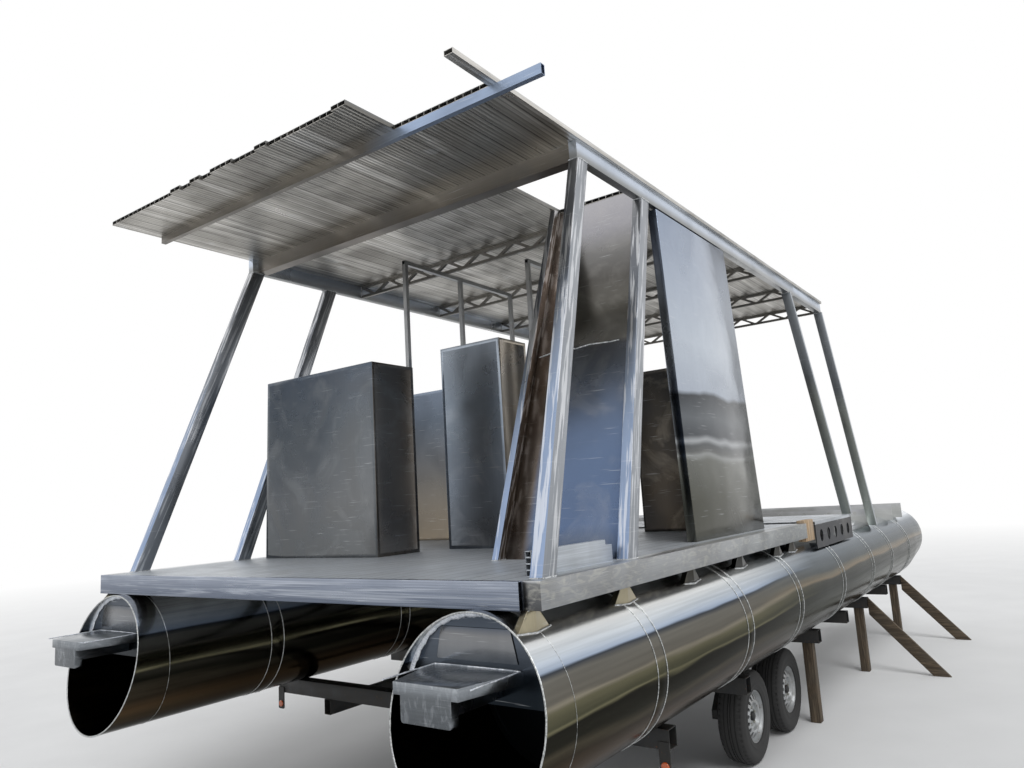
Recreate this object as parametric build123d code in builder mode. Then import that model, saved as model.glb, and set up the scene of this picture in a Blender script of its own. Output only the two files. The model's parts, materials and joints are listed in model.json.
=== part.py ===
"""Unfinished aluminium houseboat on two tubular hulls, standing ashore on its trailer and timber props."""
from build123d import *
from math import atan2, degrees, hypot
import os

os.makedirs("parts", exist_ok=True)

# Main sizes in millimetres: X to the bow, Y to port, Z up, ground at Z = 0
stern_x = -4350.0
deck_half_width = 1635.0
deck_top_z = 1570.0

# Side beams, two cells wide, and the plank on edge that closes the stern
beam_depth = 110.0
side_beam_width = 85.0
side_beam_length = 3660.0
side_beam_wall = 4.0
fascia_thick = 25.0

# Hollow planks that cover the deck and the roof
plank_thick = 25.0
plank_cell = 50.0
plank_cells = 2
plank_wall = 2.5
plank_gap = 1.0
plank_pitch = plank_cells * plank_cell

# Tubular hulls, with their tops against the side beams' undersides
hull_radius = 375.0
hull_wall = 5.0
hull_y = 1350.0
hull_z = deck_top_z - beam_depth - hull_radius
hull_overhang = 150.0
stern_rake = 75.0
stern_well_length = 450.0
nose_station = 7900.0
nose_length = 920.0
nose_radius = 345.0
nose_rise = 60.0
nose_fillet = 120.0

# Motor shelves in the hull sterns
shelf_overhang = 350.0
bulkhead_overhang = 50.0
bulkhead_drop = 450.0
shelf_back_half = 225.0
shelf_front_half = 155.0
shelf_drop = 320.0
shelf_depth = 140.0
shelf_web_depth = 100.0
shelf_plate = 8.0
shelf_lip = 45.0
transom_width = 240.0
transom_thick = 40.0
transom_corner = 12.0

# Deck frame
crossbeam_stations = (60.0, 816.0, 1572.0, 2328.0, 3084.0, side_beam_length - 40.0)
crossbeam_width = 50.0
crossbeam_wall = 3.0
crossbeam_depth = beam_depth - plank_thick
gusset_stations = (0.0, 750.0, 1520.0, 2290.0, 3060.0, side_beam_length - 250.0)
gusset_shift = 30.0
gusset_top_length = 75.0
gusset_base_length = 240.0
gusset_drop = 90.0
gusset_y = 1586.0
gusset_ridge = 12.0
gusset_thick = 40.0

# Bow deck, its side plates and the ribs that sit on the hulls
block_length = 250.0
block_width = 60.0
block_depth = 160.0
block_rise = 20.0
bow_deck_length = 1250.0
rib_thick = 6.0
rib_depth = 170.0
rib_hole_radius = 22.0
rib_hole_pitch = 260.0
rib_hole_drop = 45.0
side_plate_depth = 185.0
side_plate_hole_radius = 48.0
side_plate_hole_pitch = 230.0

# Raked posts and roof
post_long = 100.0
post_short = 60.0
bow_post_long = 80.0
bow_post_short = 40.0
post_wall = 3.0
roof_height = 2090.0
roof_low_z = deck_top_z + roof_height
roof_beam_depth = 100.0
roof_beam_width = 50.0
roof_beam_wall = 3.0
roof_half_width = 1418.0
roof_overhang = 110.0
roof_bow_station = 5970.0
roof_joint_station = 4970.0
roof_joint_gap = 1.0
roof_plank_low_z = roof_low_z + roof_beam_depth
starboard_planks_station = 200.0
stern_crossbeam_station = 945.0
stern_crossbeam_width = 80.0
overhang_tube_station = 200.0
overhang_tube_width = 30.0
overhang_tube_depth = 50.0
overhang_tube_ends = (-1675.0, 1385.0)
hatch_port_y = -785.0
roof_port_y = 1415.0
proud_roof_planks = (0, 6, 9, 10, 12, 14)
proud_end = 18.0
edge_plank_y = -1435.0
truss_stations = (1975.0, 2980.0, 3985.0, 4990.0, 5945.0)
truss_chord = 22.0
truss_web = 20.0
truss_bays = 17
truss_web_inset = 6.0

# Hatch post, hatch wall and side wall
hatch_post_station = 840.0
hatch_post_y = -820.0
hatch_post_head_y = -775.0
hatch_post_width = 40.0
hatch_wall_thick = 40.0
hatch_wall_set_back = 20.0
side_wall_station = 1880.0
side_wall_foot_length = 1250.0
side_wall_head_length = 1180.0
side_wall_thick = 60.0
side_wall_foot_inset = 150.0
side_wall_head_inset = 213.0
side_wall_head_gap = 15.0

# Frames of thin tube under the trusses
frame_tube = 30.0
frame_wall = 2.0

# Curb of stacked planks
curb_station = 130.0
curb_y = -1511.0
curb_width = 30.0
curb_bow_stations = (800.0, 800.0, 800.0, 740.0)

# Trailer
wheel_radius = 305.0
rim_radius = 168.0
tyre_width = 185.0
wheel_y = 1253.0
axle_stations = (2985.0, 3780.0)
rail_y = 1000.0
rail_width = 60.0
rail_depth = 100.0
rail_wall = 4.0
rail_aft_station = 1200.0
rail_bow_station = 8000.0
bearer_depth = 100.0
bearer_width = 90.0
bearer_wall = 5.0
bearer_half = 1525.0
bearer_stations = (1250.0, 2380.0, 4080.0, 5050.0, 5950.0, 6950.0, 7850.0)
bearer_low_z = hull_z - hull_radius - bearer_depth
rail_low_z = bearer_low_z - rail_depth
coupling_station = 9020.0
coupling_radius = 25.5
coupling_socket = 45.0
jack_setback = 350.0
drawbar_width = 60.0
drawbar_depth = 80.0
drawbar_drop = 40.0
spindle_radius = 20.0
spindle_clearance = 0.05
spindle_reach = 20.0
arm_reach = 170.0
arm_thick = 40.0
axle_beam = 70.0
marker_width = 60.0
marker_depth = 150.0
marker_thick = 6.0
marker_lap = 40.0

# Timber props and raking shores
prop_size = 80.0
prop_stations = (4080.0, 5950.0, 7850.0)
prop_y = 1430.0
shore_stations = (5950.0, 7850.0)
shore_reach = 650.0
shore_width = 110.0
shore_thick = 40.0


def along(station):
    """Gives X for a distance forward of the stern."""
    return stern_x + station


def save(built, name):
    """Labels a finished piece and writes its file."""
    built.part.label = name
    export_step(built.part, f"parts/{name}.step")


def hollow_section(width, height, wall):
    """Draws a rectangular tube's section, centred."""
    Rectangle(width, height)
    Rectangle(width - 2 * wall, height - 2 * wall, mode=Mode.SUBTRACT)


def tube_between(start, end, width, height, wall):
    """Adds a level rectangular tube from one point to the other."""
    path = Vector(end) - Vector(start)
    side = Vector(0, 0, 1).cross(path)
    with BuildSketch(Plane(origin=start, x_dir=side, z_dir=path)) as section:
        hollow_section(width, height, wall)
    extrude(section.sketch, amount=path.length)


def leaning_post(foot, head, along_x, along_y):
    """Adds a post whose two ends are cut level."""
    path = Vector(head) - Vector(foot)
    with BuildSketch(Plane.XY.offset(foot[2])) as section:
        with Locations((foot[0], foot[1])):
            hollow_section(along_x, along_y, post_wall)
    extrude(section.sketch, amount=path.length, dir=path)


def plank(aft_x, bow_x, low_y, width, cells, low_z):
    """Adds one hollow plank that lies flat and is open at both ends."""
    hole_width = (width - (cells + 1) * plank_wall) / cells
    with BuildSketch(Plane.YZ.offset(aft_x)) as section:
        with Locations((low_y + width / 2, low_z + plank_thick / 2)):
            Rectangle(width, plank_thick)
            with GridLocations(hole_width + plank_wall, 0, cells, 1):
                Rectangle(hole_width, plank_thick - 2 * plank_wall, mode=Mode.SUBTRACT)
    extrude(section.sketch, amount=bow_x - aft_x)


def plank_field(aft_x, bow_x, low_y, high_y, low_z, proud_planks=()):
    """Adds planks side by side that fill the width from one edge to the other, some ending farther aft."""
    count = max(1, round((high_y - low_y) / plank_pitch))
    pitch = (high_y - low_y) / count
    for index in range(count):
        end_x = aft_x - proud_end if index in proud_planks else aft_x
        plank(end_x, bow_x, low_y + index * pitch, pitch - plank_gap, plank_cells, low_z)


def crosswise_tube(aft_x, low_z, width, depth, wall, starboard_y, port_y):
    """Adds a rectangular tube that runs across the boat."""
    with BuildSketch(Plane.XZ.offset(-port_y)) as section:
        with Locations((aft_x + width / 2, low_z + depth / 2)):
            hollow_section(width, depth, wall)
    extrude(section.sketch, amount=port_y - starboard_y)


def lengthwise_tube(aft_x, bow_x, centre_y, low_z, width, depth, wall):
    """Adds a rectangular tube that runs along the boat."""
    with BuildSketch(Plane.YZ.offset(aft_x)) as section:
        with Locations((centre_y, low_z + depth / 2)):
            hollow_section(width, depth, wall)
    extrude(section.sketch, amount=bow_x - aft_x)


def end_plate(aft_x, centre_y, low_z, width, depth, thick):
    """Adds a plate that closes the aft end of a lengthwise tube."""
    with BuildSketch(Plane.YZ.offset(aft_x)) as section:
        with Locations((centre_y, low_z + depth / 2)):
            Rectangle(width, depth)
    extrude(section.sketch, amount=thick)


def cut_hulls(aft_x, bow_x):
    """Cuts both hulls' round shape out of the piece being built."""
    for side in (-1, 1):
        with BuildSketch(Plane.YZ.offset(aft_x)) as section:
            with Locations((side * hull_y, hull_z)):
                Circle(hull_radius)
        extrude(section.sketch, amount=bow_x - aft_x, mode=Mode.SUBTRACT)


# Hulls: a closed tube with a blunt nose whose underside rises a little to the bow
for hull_name, side in (("hull_starboard", -1), ("hull_port", 1)):
    with BuildPart() as hull:
        with BuildSketch(Plane.YZ.offset(along(stern_well_length))):
            with Locations((side * hull_y, hull_z)):
                Circle(hull_radius)
        extrude(amount=nose_station - stern_well_length)
        with BuildSketch(Plane.YZ.offset(along(nose_station))):
            with Locations((side * hull_y, hull_z)):
                Circle(hull_radius)
        with BuildSketch(Plane.YZ.offset(along(nose_station + nose_length))):
            with Locations((side * hull_y, hull_z + nose_rise)):
                Circle(nose_radius)
        loft()
        nose_rim = hull.edges().sort_by(Axis.X)[-1]
        fillet(nose_rim, nose_fillet)
    save(hull, hull_name)

# Open stern ends of the hulls: round wells cut on a slant, leaning back at the foot
skirt_aft_x = along(-hull_overhang)
with BuildPart() as skirts:
    for side in (-1, 1):
        with BuildSketch(Plane.YZ.offset(skirt_aft_x - stern_rake)) as ring:
            with Locations((side * hull_y, hull_z)):
                Circle(hull_radius)
                Circle(hull_radius - hull_wall, mode=Mode.SUBTRACT)
        extrude(ring.sketch, amount=hull_overhang + stern_rake + stern_well_length)
    with BuildSketch(Plane.XZ.offset(-2 * hull_y)) as slant:
        with BuildLine():
            Polyline(
                (skirt_aft_x - 2 * stern_rake, hull_z - hull_radius),
                (skirt_aft_x - stern_rake, hull_z - hull_radius),
                (skirt_aft_x + stern_rake, hull_z + hull_radius),
                (skirt_aft_x - 2 * stern_rake, hull_z + hull_radius),
                close=True,
            )
        make_face()
    extrude(slant.sketch, amount=4 * hull_y, mode=Mode.SUBTRACT)
save(skirts, "hull_skirts")

# Bulkheads over the motor shelves, closing the upper part of each well
shelf_top_z = deck_top_z - shelf_drop
shelf_aft_x = along(-shelf_overhang)
bulkhead_x = along(-bulkhead_overhang)
with BuildPart() as bulkheads:
    for side in (-1, 1):
        with BuildSketch(Plane.YZ.offset(bulkhead_x)) as disc:
            with Locations((side * hull_y, hull_z)):
                Circle(hull_radius - hull_wall)
            with Locations((side * hull_y, deck_top_z - bulkhead_drop - hull_radius)):
                Rectangle(2 * hull_radius, 2 * hull_radius, mode=Mode.SUBTRACT)
        extrude(disc.sketch, amount=hull_wall)
save(bulkheads, "stern_bulkheads")

# Motor shelves: a plate that narrows aft, its turned edges, two webs and a thick board for the clamps


def shelf_outline(centre_y, inset):
    """Gives the corners of a shelf's outline, set in from its edges."""
    aft_x = shelf_aft_x + inset
    return (
        (bulkhead_x, centre_y - shelf_back_half + inset), (bulkhead_x, centre_y + shelf_back_half - inset),
        (aft_x, centre_y + shelf_front_half - inset), (aft_x, centre_y - shelf_front_half + inset),
    )


with BuildPart() as shelves:
    for side in (-1, 1):
        centre_y = side * hull_y
        with BuildSketch(Plane.XY.offset(shelf_top_z - shelf_plate)) as top_plate:
            Polygon(*shelf_outline(centre_y, 0.0), align=None)
        extrude(top_plate.sketch, amount=shelf_plate)
        with BuildSketch(Plane.XY.offset(shelf_top_z - shelf_lip)) as lips:
            Polygon(*shelf_outline(centre_y, 0.0), align=None)
            Polygon(*shelf_outline(centre_y, shelf_plate), align=None, mode=Mode.SUBTRACT)
        extrude(lips.sketch, amount=shelf_lip)
        with BuildSketch(Plane.YZ.offset(shelf_aft_x)) as webs:
            with Locations((centre_y, shelf_top_z - shelf_web_depth / 2)):
                with GridLocations(transom_width - shelf_plate, 0, 2, 1):
                    Rectangle(shelf_plate, shelf_web_depth)
        extrude(webs.sketch, amount=bulkhead_x - shelf_aft_x)
        with BuildSketch(Plane.YZ.offset(shelf_aft_x)) as board:
            with Locations((centre_y, shelf_top_z - shelf_depth / 2)):
                RectangleRounded(transom_width, shelf_depth, transom_corner)
        extrude(board.sketch, amount=transom_thick)
save(shelves, "motor_shelves")

# Side beams with a web between their two cells, closed by a plate at the stern
side_beam_y = deck_half_width - side_beam_width / 2
beam_inner_y = deck_half_width - side_beam_width
with BuildPart() as side_beams:
    for side in (-1, 1):
        with BuildSketch(Plane.YZ.offset(stern_x)) as section:
            with Locations((side * side_beam_y, deck_top_z - beam_depth / 2)):
                hollow_section(side_beam_width, beam_depth, side_beam_wall)
                Rectangle(side_beam_wall, beam_depth)
        extrude(section.sketch, amount=side_beam_length)
        end_plate(
            stern_x, side * side_beam_y, deck_top_z - beam_depth, side_beam_width, beam_depth, side_beam_wall,
        )
save(side_beams, "side_beams")

# Stern fascia: one hollow plank on edge from the port corner to the starboard beam, its end open
with BuildPart() as fascia:
    crosswise_tube(
        stern_x - fascia_thick, deck_top_z - beam_depth, fascia_thick, beam_depth, plank_wall,
        -beam_inner_y, deck_half_width,
    )
save(fascia, "stern_fascia")

# Crossbeams under the deck planks
deck_plank_low_z = deck_top_z - plank_thick
with BuildPart() as crossbeams:
    for station in crossbeam_stations:
        crosswise_tube(
            along(station) - crossbeam_width / 2, deck_plank_low_z - crossbeam_depth,
            crossbeam_width, crossbeam_depth, crossbeam_wall, -beam_inner_y, beam_inner_y,
        )
save(crossbeams, "deck_crossbeams")

# Deck planks between the side beams, and the planks of the bow deck
bow_deck_x = along(side_beam_length + block_length)
bow_deck_end_x = bow_deck_x + bow_deck_length
with BuildPart() as deck_planks:
    plank_field(stern_x, along(side_beam_length), -beam_inner_y, beam_inner_y, deck_plank_low_z)
save(deck_planks, "deck_planks")

with BuildPart() as bow_planks:
    plank_field(bow_deck_x, bow_deck_end_x, -deck_half_width, deck_half_width, deck_plank_low_z)
save(bow_planks, "bow_deck_planks")


def rib(station_x, top_z):
    """Adds a crosswise plate that sits on both hulls and has a row of round holes."""
    low_z = deck_top_z - rib_depth
    width = 2 * (deck_half_width - rib_thick)
    hole_count = int((width - rib_hole_pitch) // rib_hole_pitch) + 1
    with BuildSketch(Plane.YZ.offset(station_x)) as plate:
        with Locations((0, (top_z + low_z) / 2)):
            Rectangle(width, top_z - low_z)
        for side in (-1, 1):
            with Locations((side * hull_y, hull_z)):
                Circle(hull_radius, mode=Mode.SUBTRACT)
        with Locations((0, top_z - rib_hole_drop)):
            with GridLocations(rib_hole_pitch, 0, hole_count, 1):
                Circle(rib_hole_radius, mode=Mode.SUBTRACT)
    extrude(plate.sketch, amount=rib_thick)


# Bow ribs: three carry the bow deck, three stand bare towards the nose
with BuildPart() as bow_ribs:
    for station_x, top_z in (
        (bow_deck_x + 60.0, deck_plank_low_z),
        (bow_deck_x + 620.0, deck_plank_low_z),
        (bow_deck_end_x - 40.0, deck_plank_low_z),
        (along(6300.0), deck_top_z),
        (along(7250.0), deck_top_z),
        (along(nose_station) - 20.0, deck_top_z),
    ):
        rib(station_x, top_z)
save(bow_ribs, "bow_ribs")

# Side plates under the edges of the bow deck, with larger holes
with BuildPart() as side_plates:
    for side in (-1, 1):
        low_z = deck_plank_low_z - side_plate_depth
        hole_count = int((bow_deck_length - side_plate_hole_pitch) // side_plate_hole_pitch) + 1
        with BuildSketch(Plane.XZ.offset(-side * (deck_half_width - rib_thick))) as plate:
            with Locations((bow_deck_x + bow_deck_length / 2, (deck_plank_low_z + low_z) / 2)):
                Rectangle(bow_deck_length, side_plate_depth)
                with GridLocations(side_plate_hole_pitch, 0, hole_count, 1):
                    Circle(side_plate_hole_radius, mode=Mode.SUBTRACT)
        extrude(plate.sketch, amount=-side * rib_thick)
    cut_hulls(stern_x, bow_deck_end_x)
save(side_plates, "bow_side_plates")

# Gussets: folded plates with a ridge, wider at the foot, that stand on the hulls and carry the side beams
with BuildPart() as gussets:
    for side in (-1, 1):
        flat_y = side * (gusset_y - gusset_ridge)
        inner_y = side * (gusset_y - gusset_thick)
        for station in gusset_stations:
            mid_x = along(station) + gusset_shift
            for length, drop in ((gusset_top_length, 0.0), (gusset_base_length, gusset_drop)):
                with BuildSketch(Plane.XY.offset(deck_top_z - beam_depth - drop)):
                    with BuildLine():
                        Polyline(
                            (mid_x - length / 2, flat_y), (mid_x, side * gusset_y), (mid_x + length / 2, flat_y),
                            (mid_x + length / 2, inner_y), (mid_x - length / 2, inner_y),
                            close=True,
                        )
                    make_face()
            loft()
    cut_hulls(along(-hull_overhang) - stern_rake, along(nose_station))
save(gussets, "hull_brackets")

# Timber block between the end of each side beam and the bow deck
with BuildPart() as blocks:
    for side in (-1, 1):
        with BuildSketch(Plane.XY.offset(deck_top_z + block_rise - block_depth)) as block:
            with Locations((along(side_beam_length) + block_length / 2, side * side_beam_y)):
                Rectangle(block_length, block_width)
        extrude(block.sketch, amount=block_depth)
    cut_hulls(stern_x, along(nose_station))
save(blocks, "beam_end_block")

# Raked posts: node, starboard and port foot station, starboard and port head station,
# foot inset from the deck's edge, foot level, size along X and along Y
roof_beam_y = roof_half_width - roof_beam_width / 2
stern_post_heads = (974.0, 947.0)
second_post_feet = (865.0, 920.0)
second_post_heads = (1725.0, 1645.0)
second_post_inset = 82.0
bow_post_foot_z = deck_top_z - rib_depth
post_table = (
    ("posts_stern", (109.0, 190.0), stern_post_heads, 60.0, deck_top_z, post_long, post_short),
    ("posts_second", second_post_feet, second_post_heads, second_post_inset, deck_top_z, post_long, post_short),
    ("posts_bow_aft", (5125.0, 5125.0), (4790.0, 4790.0), 20.0, deck_top_z, bow_post_short, bow_post_long),
    ("posts_bow", (6275.0, 6275.0), (5940.0, 5940.0), 35.0, bow_post_foot_z, bow_post_short, bow_post_long),
)
for post_name, feet, heads, foot_inset, foot_z, along_x, along_y in post_table:
    with BuildPart() as posts:
        for side, foot_station, head_station in zip((-1, 1), feet, heads):
            foot = (along(foot_station), side * (deck_half_width - foot_inset), foot_z)
            head = (along(head_station), side * roof_beam_y, roof_low_z)
            leaning_post(foot, head, along_x, along_y)
        if foot_z < deck_top_z:
            cut_hulls(stern_x, along(nose_station))
    save(posts, post_name)

# Roof beams, each of two lengths butted at a joint, their aft ends closed and flush with the stern posts
roof_bow_x = along(roof_bow_station)
joint_x = along(roof_joint_station)
with BuildPart() as roof_beams:
    for side, head_station in zip((-1, 1), stern_post_heads):
        roof_beam_aft_x = along(head_station) - post_long / 2
        for aft_x, bow_x in ((roof_beam_aft_x, joint_x - roof_joint_gap), (joint_x, roof_bow_x)):
            lengthwise_tube(
                aft_x, bow_x, side * roof_beam_y, roof_low_z, roof_beam_width, roof_beam_depth, roof_beam_wall,
            )
        end_plate(
            roof_beam_aft_x, side * roof_beam_y, roof_low_z, roof_beam_width, roof_beam_depth, roof_beam_wall,
        )
save(roof_beams, "roof_beams")

# Crosswise members at the roof's stern
roof_inner_half = roof_half_width - roof_beam_width
with BuildPart() as roof_stern_beam:
    crosswise_tube(
        along(stern_crossbeam_station), roof_low_z, stern_crossbeam_width, roof_beam_depth, roof_beam_wall,
        -roof_inner_half, roof_inner_half,
    )
save(roof_stern_beam, "roof_stern_beam")

with BuildPart() as overhang_tube:
    crosswise_tube(
        along(overhang_tube_station), roof_plank_low_z - overhang_tube_depth,
        overhang_tube_width, overhang_tube_depth, plank_wall, *overhang_tube_ends,
    )
save(overhang_tube, "roof_overhang_tube")

# Rake that the hatch post and the hatch wall share with the second starboard post
rake = (second_post_heads[0] - second_post_feet[0]) / roof_height
post_rise = roof_plank_low_z - deck_top_z
hatch_post_head_x = along(hatch_post_station) + rake * post_rise
hatch_bow_x = hatch_post_head_x + hatch_wall_set_back

# Roof planks: port field, two starboard fields with the hatch between them, and a narrow plank at the edge
roof_aft_x = along(-roof_overhang)
edge_plank_width = plank_cell - plank_gap
starboard_field_y = edge_plank_y + plank_cell
hatch_aft_x = along(stern_crossbeam_station + stern_crossbeam_width)
starboard_planks_x = along(starboard_planks_station)
roof_fields = (
    ("roof_planks_port", roof_aft_x, roof_bow_x, hatch_port_y, roof_port_y, proud_roof_planks),
    ("roof_planks_starboard_aft", starboard_planks_x, hatch_aft_x, starboard_field_y, hatch_port_y, ()),
    ("roof_planks_starboard_bow", hatch_bow_x, roof_bow_x, starboard_field_y, hatch_port_y, ()),
)
for field_name, aft_x, bow_x, low_y, high_y, proud_planks in roof_fields:
    with BuildPart() as roof_planks:
        plank_field(aft_x, bow_x, low_y, high_y, roof_plank_low_z, proud_planks)
    save(roof_planks, field_name)

with BuildPart() as edge_plank:
    plank(roof_aft_x, roof_bow_x, edge_plank_y, edge_plank_width, 1, roof_plank_low_z)
save(edge_plank, "roof_edge_plank")

# Roof trusses: two chords and a zigzag web between the roof beams
with BuildPart() as trusses:
    bay = 2 * roof_inner_half / truss_bays
    web_low = roof_low_z + truss_web_inset
    web_high = roof_plank_low_z - truss_web_inset
    web_length = hypot(bay, web_high - web_low)
    web_angle = degrees(atan2(web_high - web_low, bay))
    for station in truss_stations:
        with BuildSketch(Plane.YZ.offset(along(station))) as outline:
            for chord_z in (roof_low_z + truss_chord / 2, roof_plank_low_z - truss_chord / 2):
                with Locations((0, chord_z)):
                    Rectangle(2 * roof_inner_half, truss_chord)
            for index in range(truss_bays):
                centre_y = -roof_inner_half + (index + 0.5) * bay
                lean = web_angle if index % 2 == 0 else -web_angle
                with Locations(Location((centre_y, (web_low + web_high) / 2), lean)):
                    Rectangle(web_length, truss_web)
            with Locations((0, (roof_low_z + roof_plank_low_z) / 2)):
                Rectangle(2 * roof_inner_half, roof_beam_depth, mode=Mode.INTERSECT)
        extrude(outline.sketch, amount=truss_chord)
save(trusses, "roof_trusses")

# Hatch post, parallel to the second starboard post and long enough to reach the roof planks
with BuildPart() as hatch_post:
    leaning_post(
        (along(hatch_post_station), hatch_post_y, deck_top_z),
        (hatch_post_head_x, hatch_post_head_y, roof_plank_low_z),
        post_long, hatch_post_width,
    )
save(hatch_post, "hatch_post")

# Raked hatch wall between the hatch post and the second starboard post, up to the planks at the hatch's bow edge
post_foot_y = -(deck_half_width - second_post_inset) + post_short / 2
post_lean = (deck_half_width - second_post_inset - roof_beam_y) / roof_height
with BuildPart() as hatch_wall:
    for height, post_y in ((0.0, hatch_post_y), (post_rise, hatch_post_head_y)):
        aft_x = along(hatch_post_station) + rake * height + hatch_wall_set_back
        port_y = post_y - hatch_post_width / 2
        starboard_y = post_foot_y + post_lean * height
        with BuildSketch(Plane.XY.offset(deck_top_z + height)):
            with Locations((aft_x + hatch_wall_thick / 2, (port_y + starboard_y) / 2)):
                Rectangle(hatch_wall_thick, port_y - starboard_y)
    loft()
save(hatch_wall, "hatch_wall")

# Side wall panel, leaning inboard until it stands under the roof beam
with BuildPart() as side_wall:
    for level_z, inset, length in (
        (deck_top_z, side_wall_foot_inset, side_wall_foot_length),
        (roof_low_z - side_wall_head_gap, side_wall_head_inset, side_wall_head_length),
    ):
        wall_x = along(side_wall_station) + length / 2
        with BuildSketch(Plane.XY.offset(level_z)):
            with Locations((wall_x, -deck_half_width + inset + side_wall_thick / 2)):
                Rectangle(length, side_wall_thick)
    loft()
save(side_wall, "side_wall_panel")

# Cabinets: node, aft and bow station, starboard and port side at the deck, height, lean of the port side
cabinet_table = (
    ("cabinet_port_aft", 1040.0, 1430.0, 300.0, 1440.0, 1265.0, 40.0),
    ("cabinet_centre", 1650.0, 1970.0, -295.0, 230.0, 1410.0, 0.0),
    ("cabinet_port_bow", 2700.0, 3250.0, 500.0, 1545.0, 1330.0, 30.0),
    ("cabinet_starboard", 3120.0, 3700.0, -1200.0, -540.0, 1270.0, 0.0),
)
for cabinet_name, aft, bow, low_y, high_y, height, lean in cabinet_table:
    with BuildPart() as cabinet:
        for level, port_y in ((0.0, high_y), (height, high_y - lean)):
            with BuildSketch(Plane.XY.offset(deck_top_z + level)):
                with Locations((along((aft + bow) / 2), (low_y + port_y) / 2)):
                    Rectangle(bow - aft, port_y - low_y)
        loft()
    save(cabinet, cabinet_name)

# Thin frames: posts on the deck and one rail under the trusses; node, Y, stations of the posts
frame_table = (
    ("inner_frame_port", 420.0, (1520.0, 2150.0, 2830.0)),
    ("inner_frame_centre", -240.0, (2150.0, 2830.0)),
)
for frame_name, frame_y, stations in frame_table:
    rail_z = roof_low_z - frame_tube
    with BuildPart() as thin_frame:
        for station in stations:
            with BuildSketch(Plane.XY.offset(deck_top_z)) as section:
                with Locations((along(station), frame_y)):
                    hollow_section(frame_tube, frame_tube, frame_wall)
            extrude(section.sketch, amount=rail_z - deck_top_z)
        lengthwise_tube(
            along(stations[0]) - frame_tube / 2, along(stations[-1]) + frame_tube / 2,
            frame_y, rail_z, frame_tube, frame_tube, frame_wall,
        )
    save(thin_frame, frame_name)

# Curb of narrow planks stacked inside the starboard beam
with BuildPart() as curb:
    for layer, bow_station in enumerate(curb_bow_stations):
        plank(
            along(curb_station), along(bow_station), curb_y, curb_width, 1,
            deck_top_z + layer * plank_thick,
        )
save(curb, "curb_planks")

# Trailer frame
rail_bow_x = along(rail_bow_station)
rail_inner_y = rail_y - rail_width / 2
with BuildPart() as rails:
    for side in (-1, 1):
        lengthwise_tube(
            along(rail_aft_station), rail_bow_x, side * rail_y, rail_low_z, rail_width, rail_depth, rail_wall,
        )
save(rails, "trailer_rails")

with BuildPart() as bearers:
    for station in bearer_stations:
        crosswise_tube(
            along(station) - bearer_width / 2, bearer_low_z, bearer_width, bearer_depth, bearer_wall,
            -bearer_half, bearer_half,
        )
save(bearers, "trailer_bearers")

front_beam_x = rail_bow_x - 1.5 * drawbar_width
with BuildPart() as front_beam:
    crosswise_tube(
        front_beam_x, rail_low_z, drawbar_width, drawbar_depth, rail_wall, -rail_inner_y, rail_inner_y,
    )
save(front_beam, "trailer_front_beam")

# Drawbar: two bars that run in under the front beam and meet under the coupling
coupling_x = along(coupling_station)
coupling_length = 260.0
coupling_width = 90.0
with BuildPart() as drawbar:
    for side in (-1, 1):
        tube_between(
            (rail_bow_x - 200, side * (rail_inner_y - drawbar_width / 2), rail_low_z - drawbar_drop),
            (coupling_x - 150, side * (drawbar_width / 2 + 2), rail_low_z - drawbar_drop),
            drawbar_width, drawbar_depth, rail_wall,
        )
save(drawbar, "trailer_drawbar")

with BuildPart() as coupling:
    with BuildSketch(Plane.XY.offset(rail_low_z)) as head:
        with Locations((coupling_x + 30 - coupling_length / 2, 0)):
            RectangleRounded(coupling_length, coupling_width, 20)
    extrude(head.sketch, amount=2 * coupling_socket)
    with BuildSketch(Plane.XY.offset(rail_low_z)) as socket:
        with Locations((coupling_x - coupling_radius, 0)):
            Circle(coupling_radius)
    extrude(socket.sketch, amount=coupling_socket, mode=Mode.SUBTRACT)
save(coupling, "trailer_coupling")

# Jack: foot plate, leg and the crossbar that it is clamped to
jack_x = coupling_x - jack_setback
jack_plate = 12.0
with BuildPart() as jack:
    with BuildSketch(Plane.XY) as foot_plate:
        with Locations((jack_x, 0)):
            RectangleRounded(200, 160, 20)
    extrude(foot_plate.sketch, amount=jack_plate)
    with BuildSketch(Plane.XY.offset(jack_plate)) as leg:
        with Locations((jack_x, 0)):
            Circle(24)
    extrude(leg.sketch, amount=rail_low_z + 140 - jack_plate)
    with BuildSketch(Plane.XY.offset(rail_low_z)) as clamp:
        with Locations((jack_x, 0)):
            Rectangle(90, 400)
    extrude(clamp.sketch, amount=jack_plate)
save(jack, "trailer_jack")

# Marker plates that hang on the aft bearer's ends
with BuildPart() as markers:
    for side in (-1, 1):
        marker_y = side * (bearer_half - marker_width / 2)
        marker_x = along(bearer_stations[0]) - bearer_width / 2 - marker_thick
        with BuildSketch(Plane.YZ.offset(marker_x)) as plate:
            with Locations((marker_y, bearer_low_z + marker_lap - marker_depth / 2)):
                RectangleRounded(marker_width, marker_depth, 10)
        extrude(plate.sketch, amount=marker_thick)
save(markers, "trailer_marker_plates")

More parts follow.
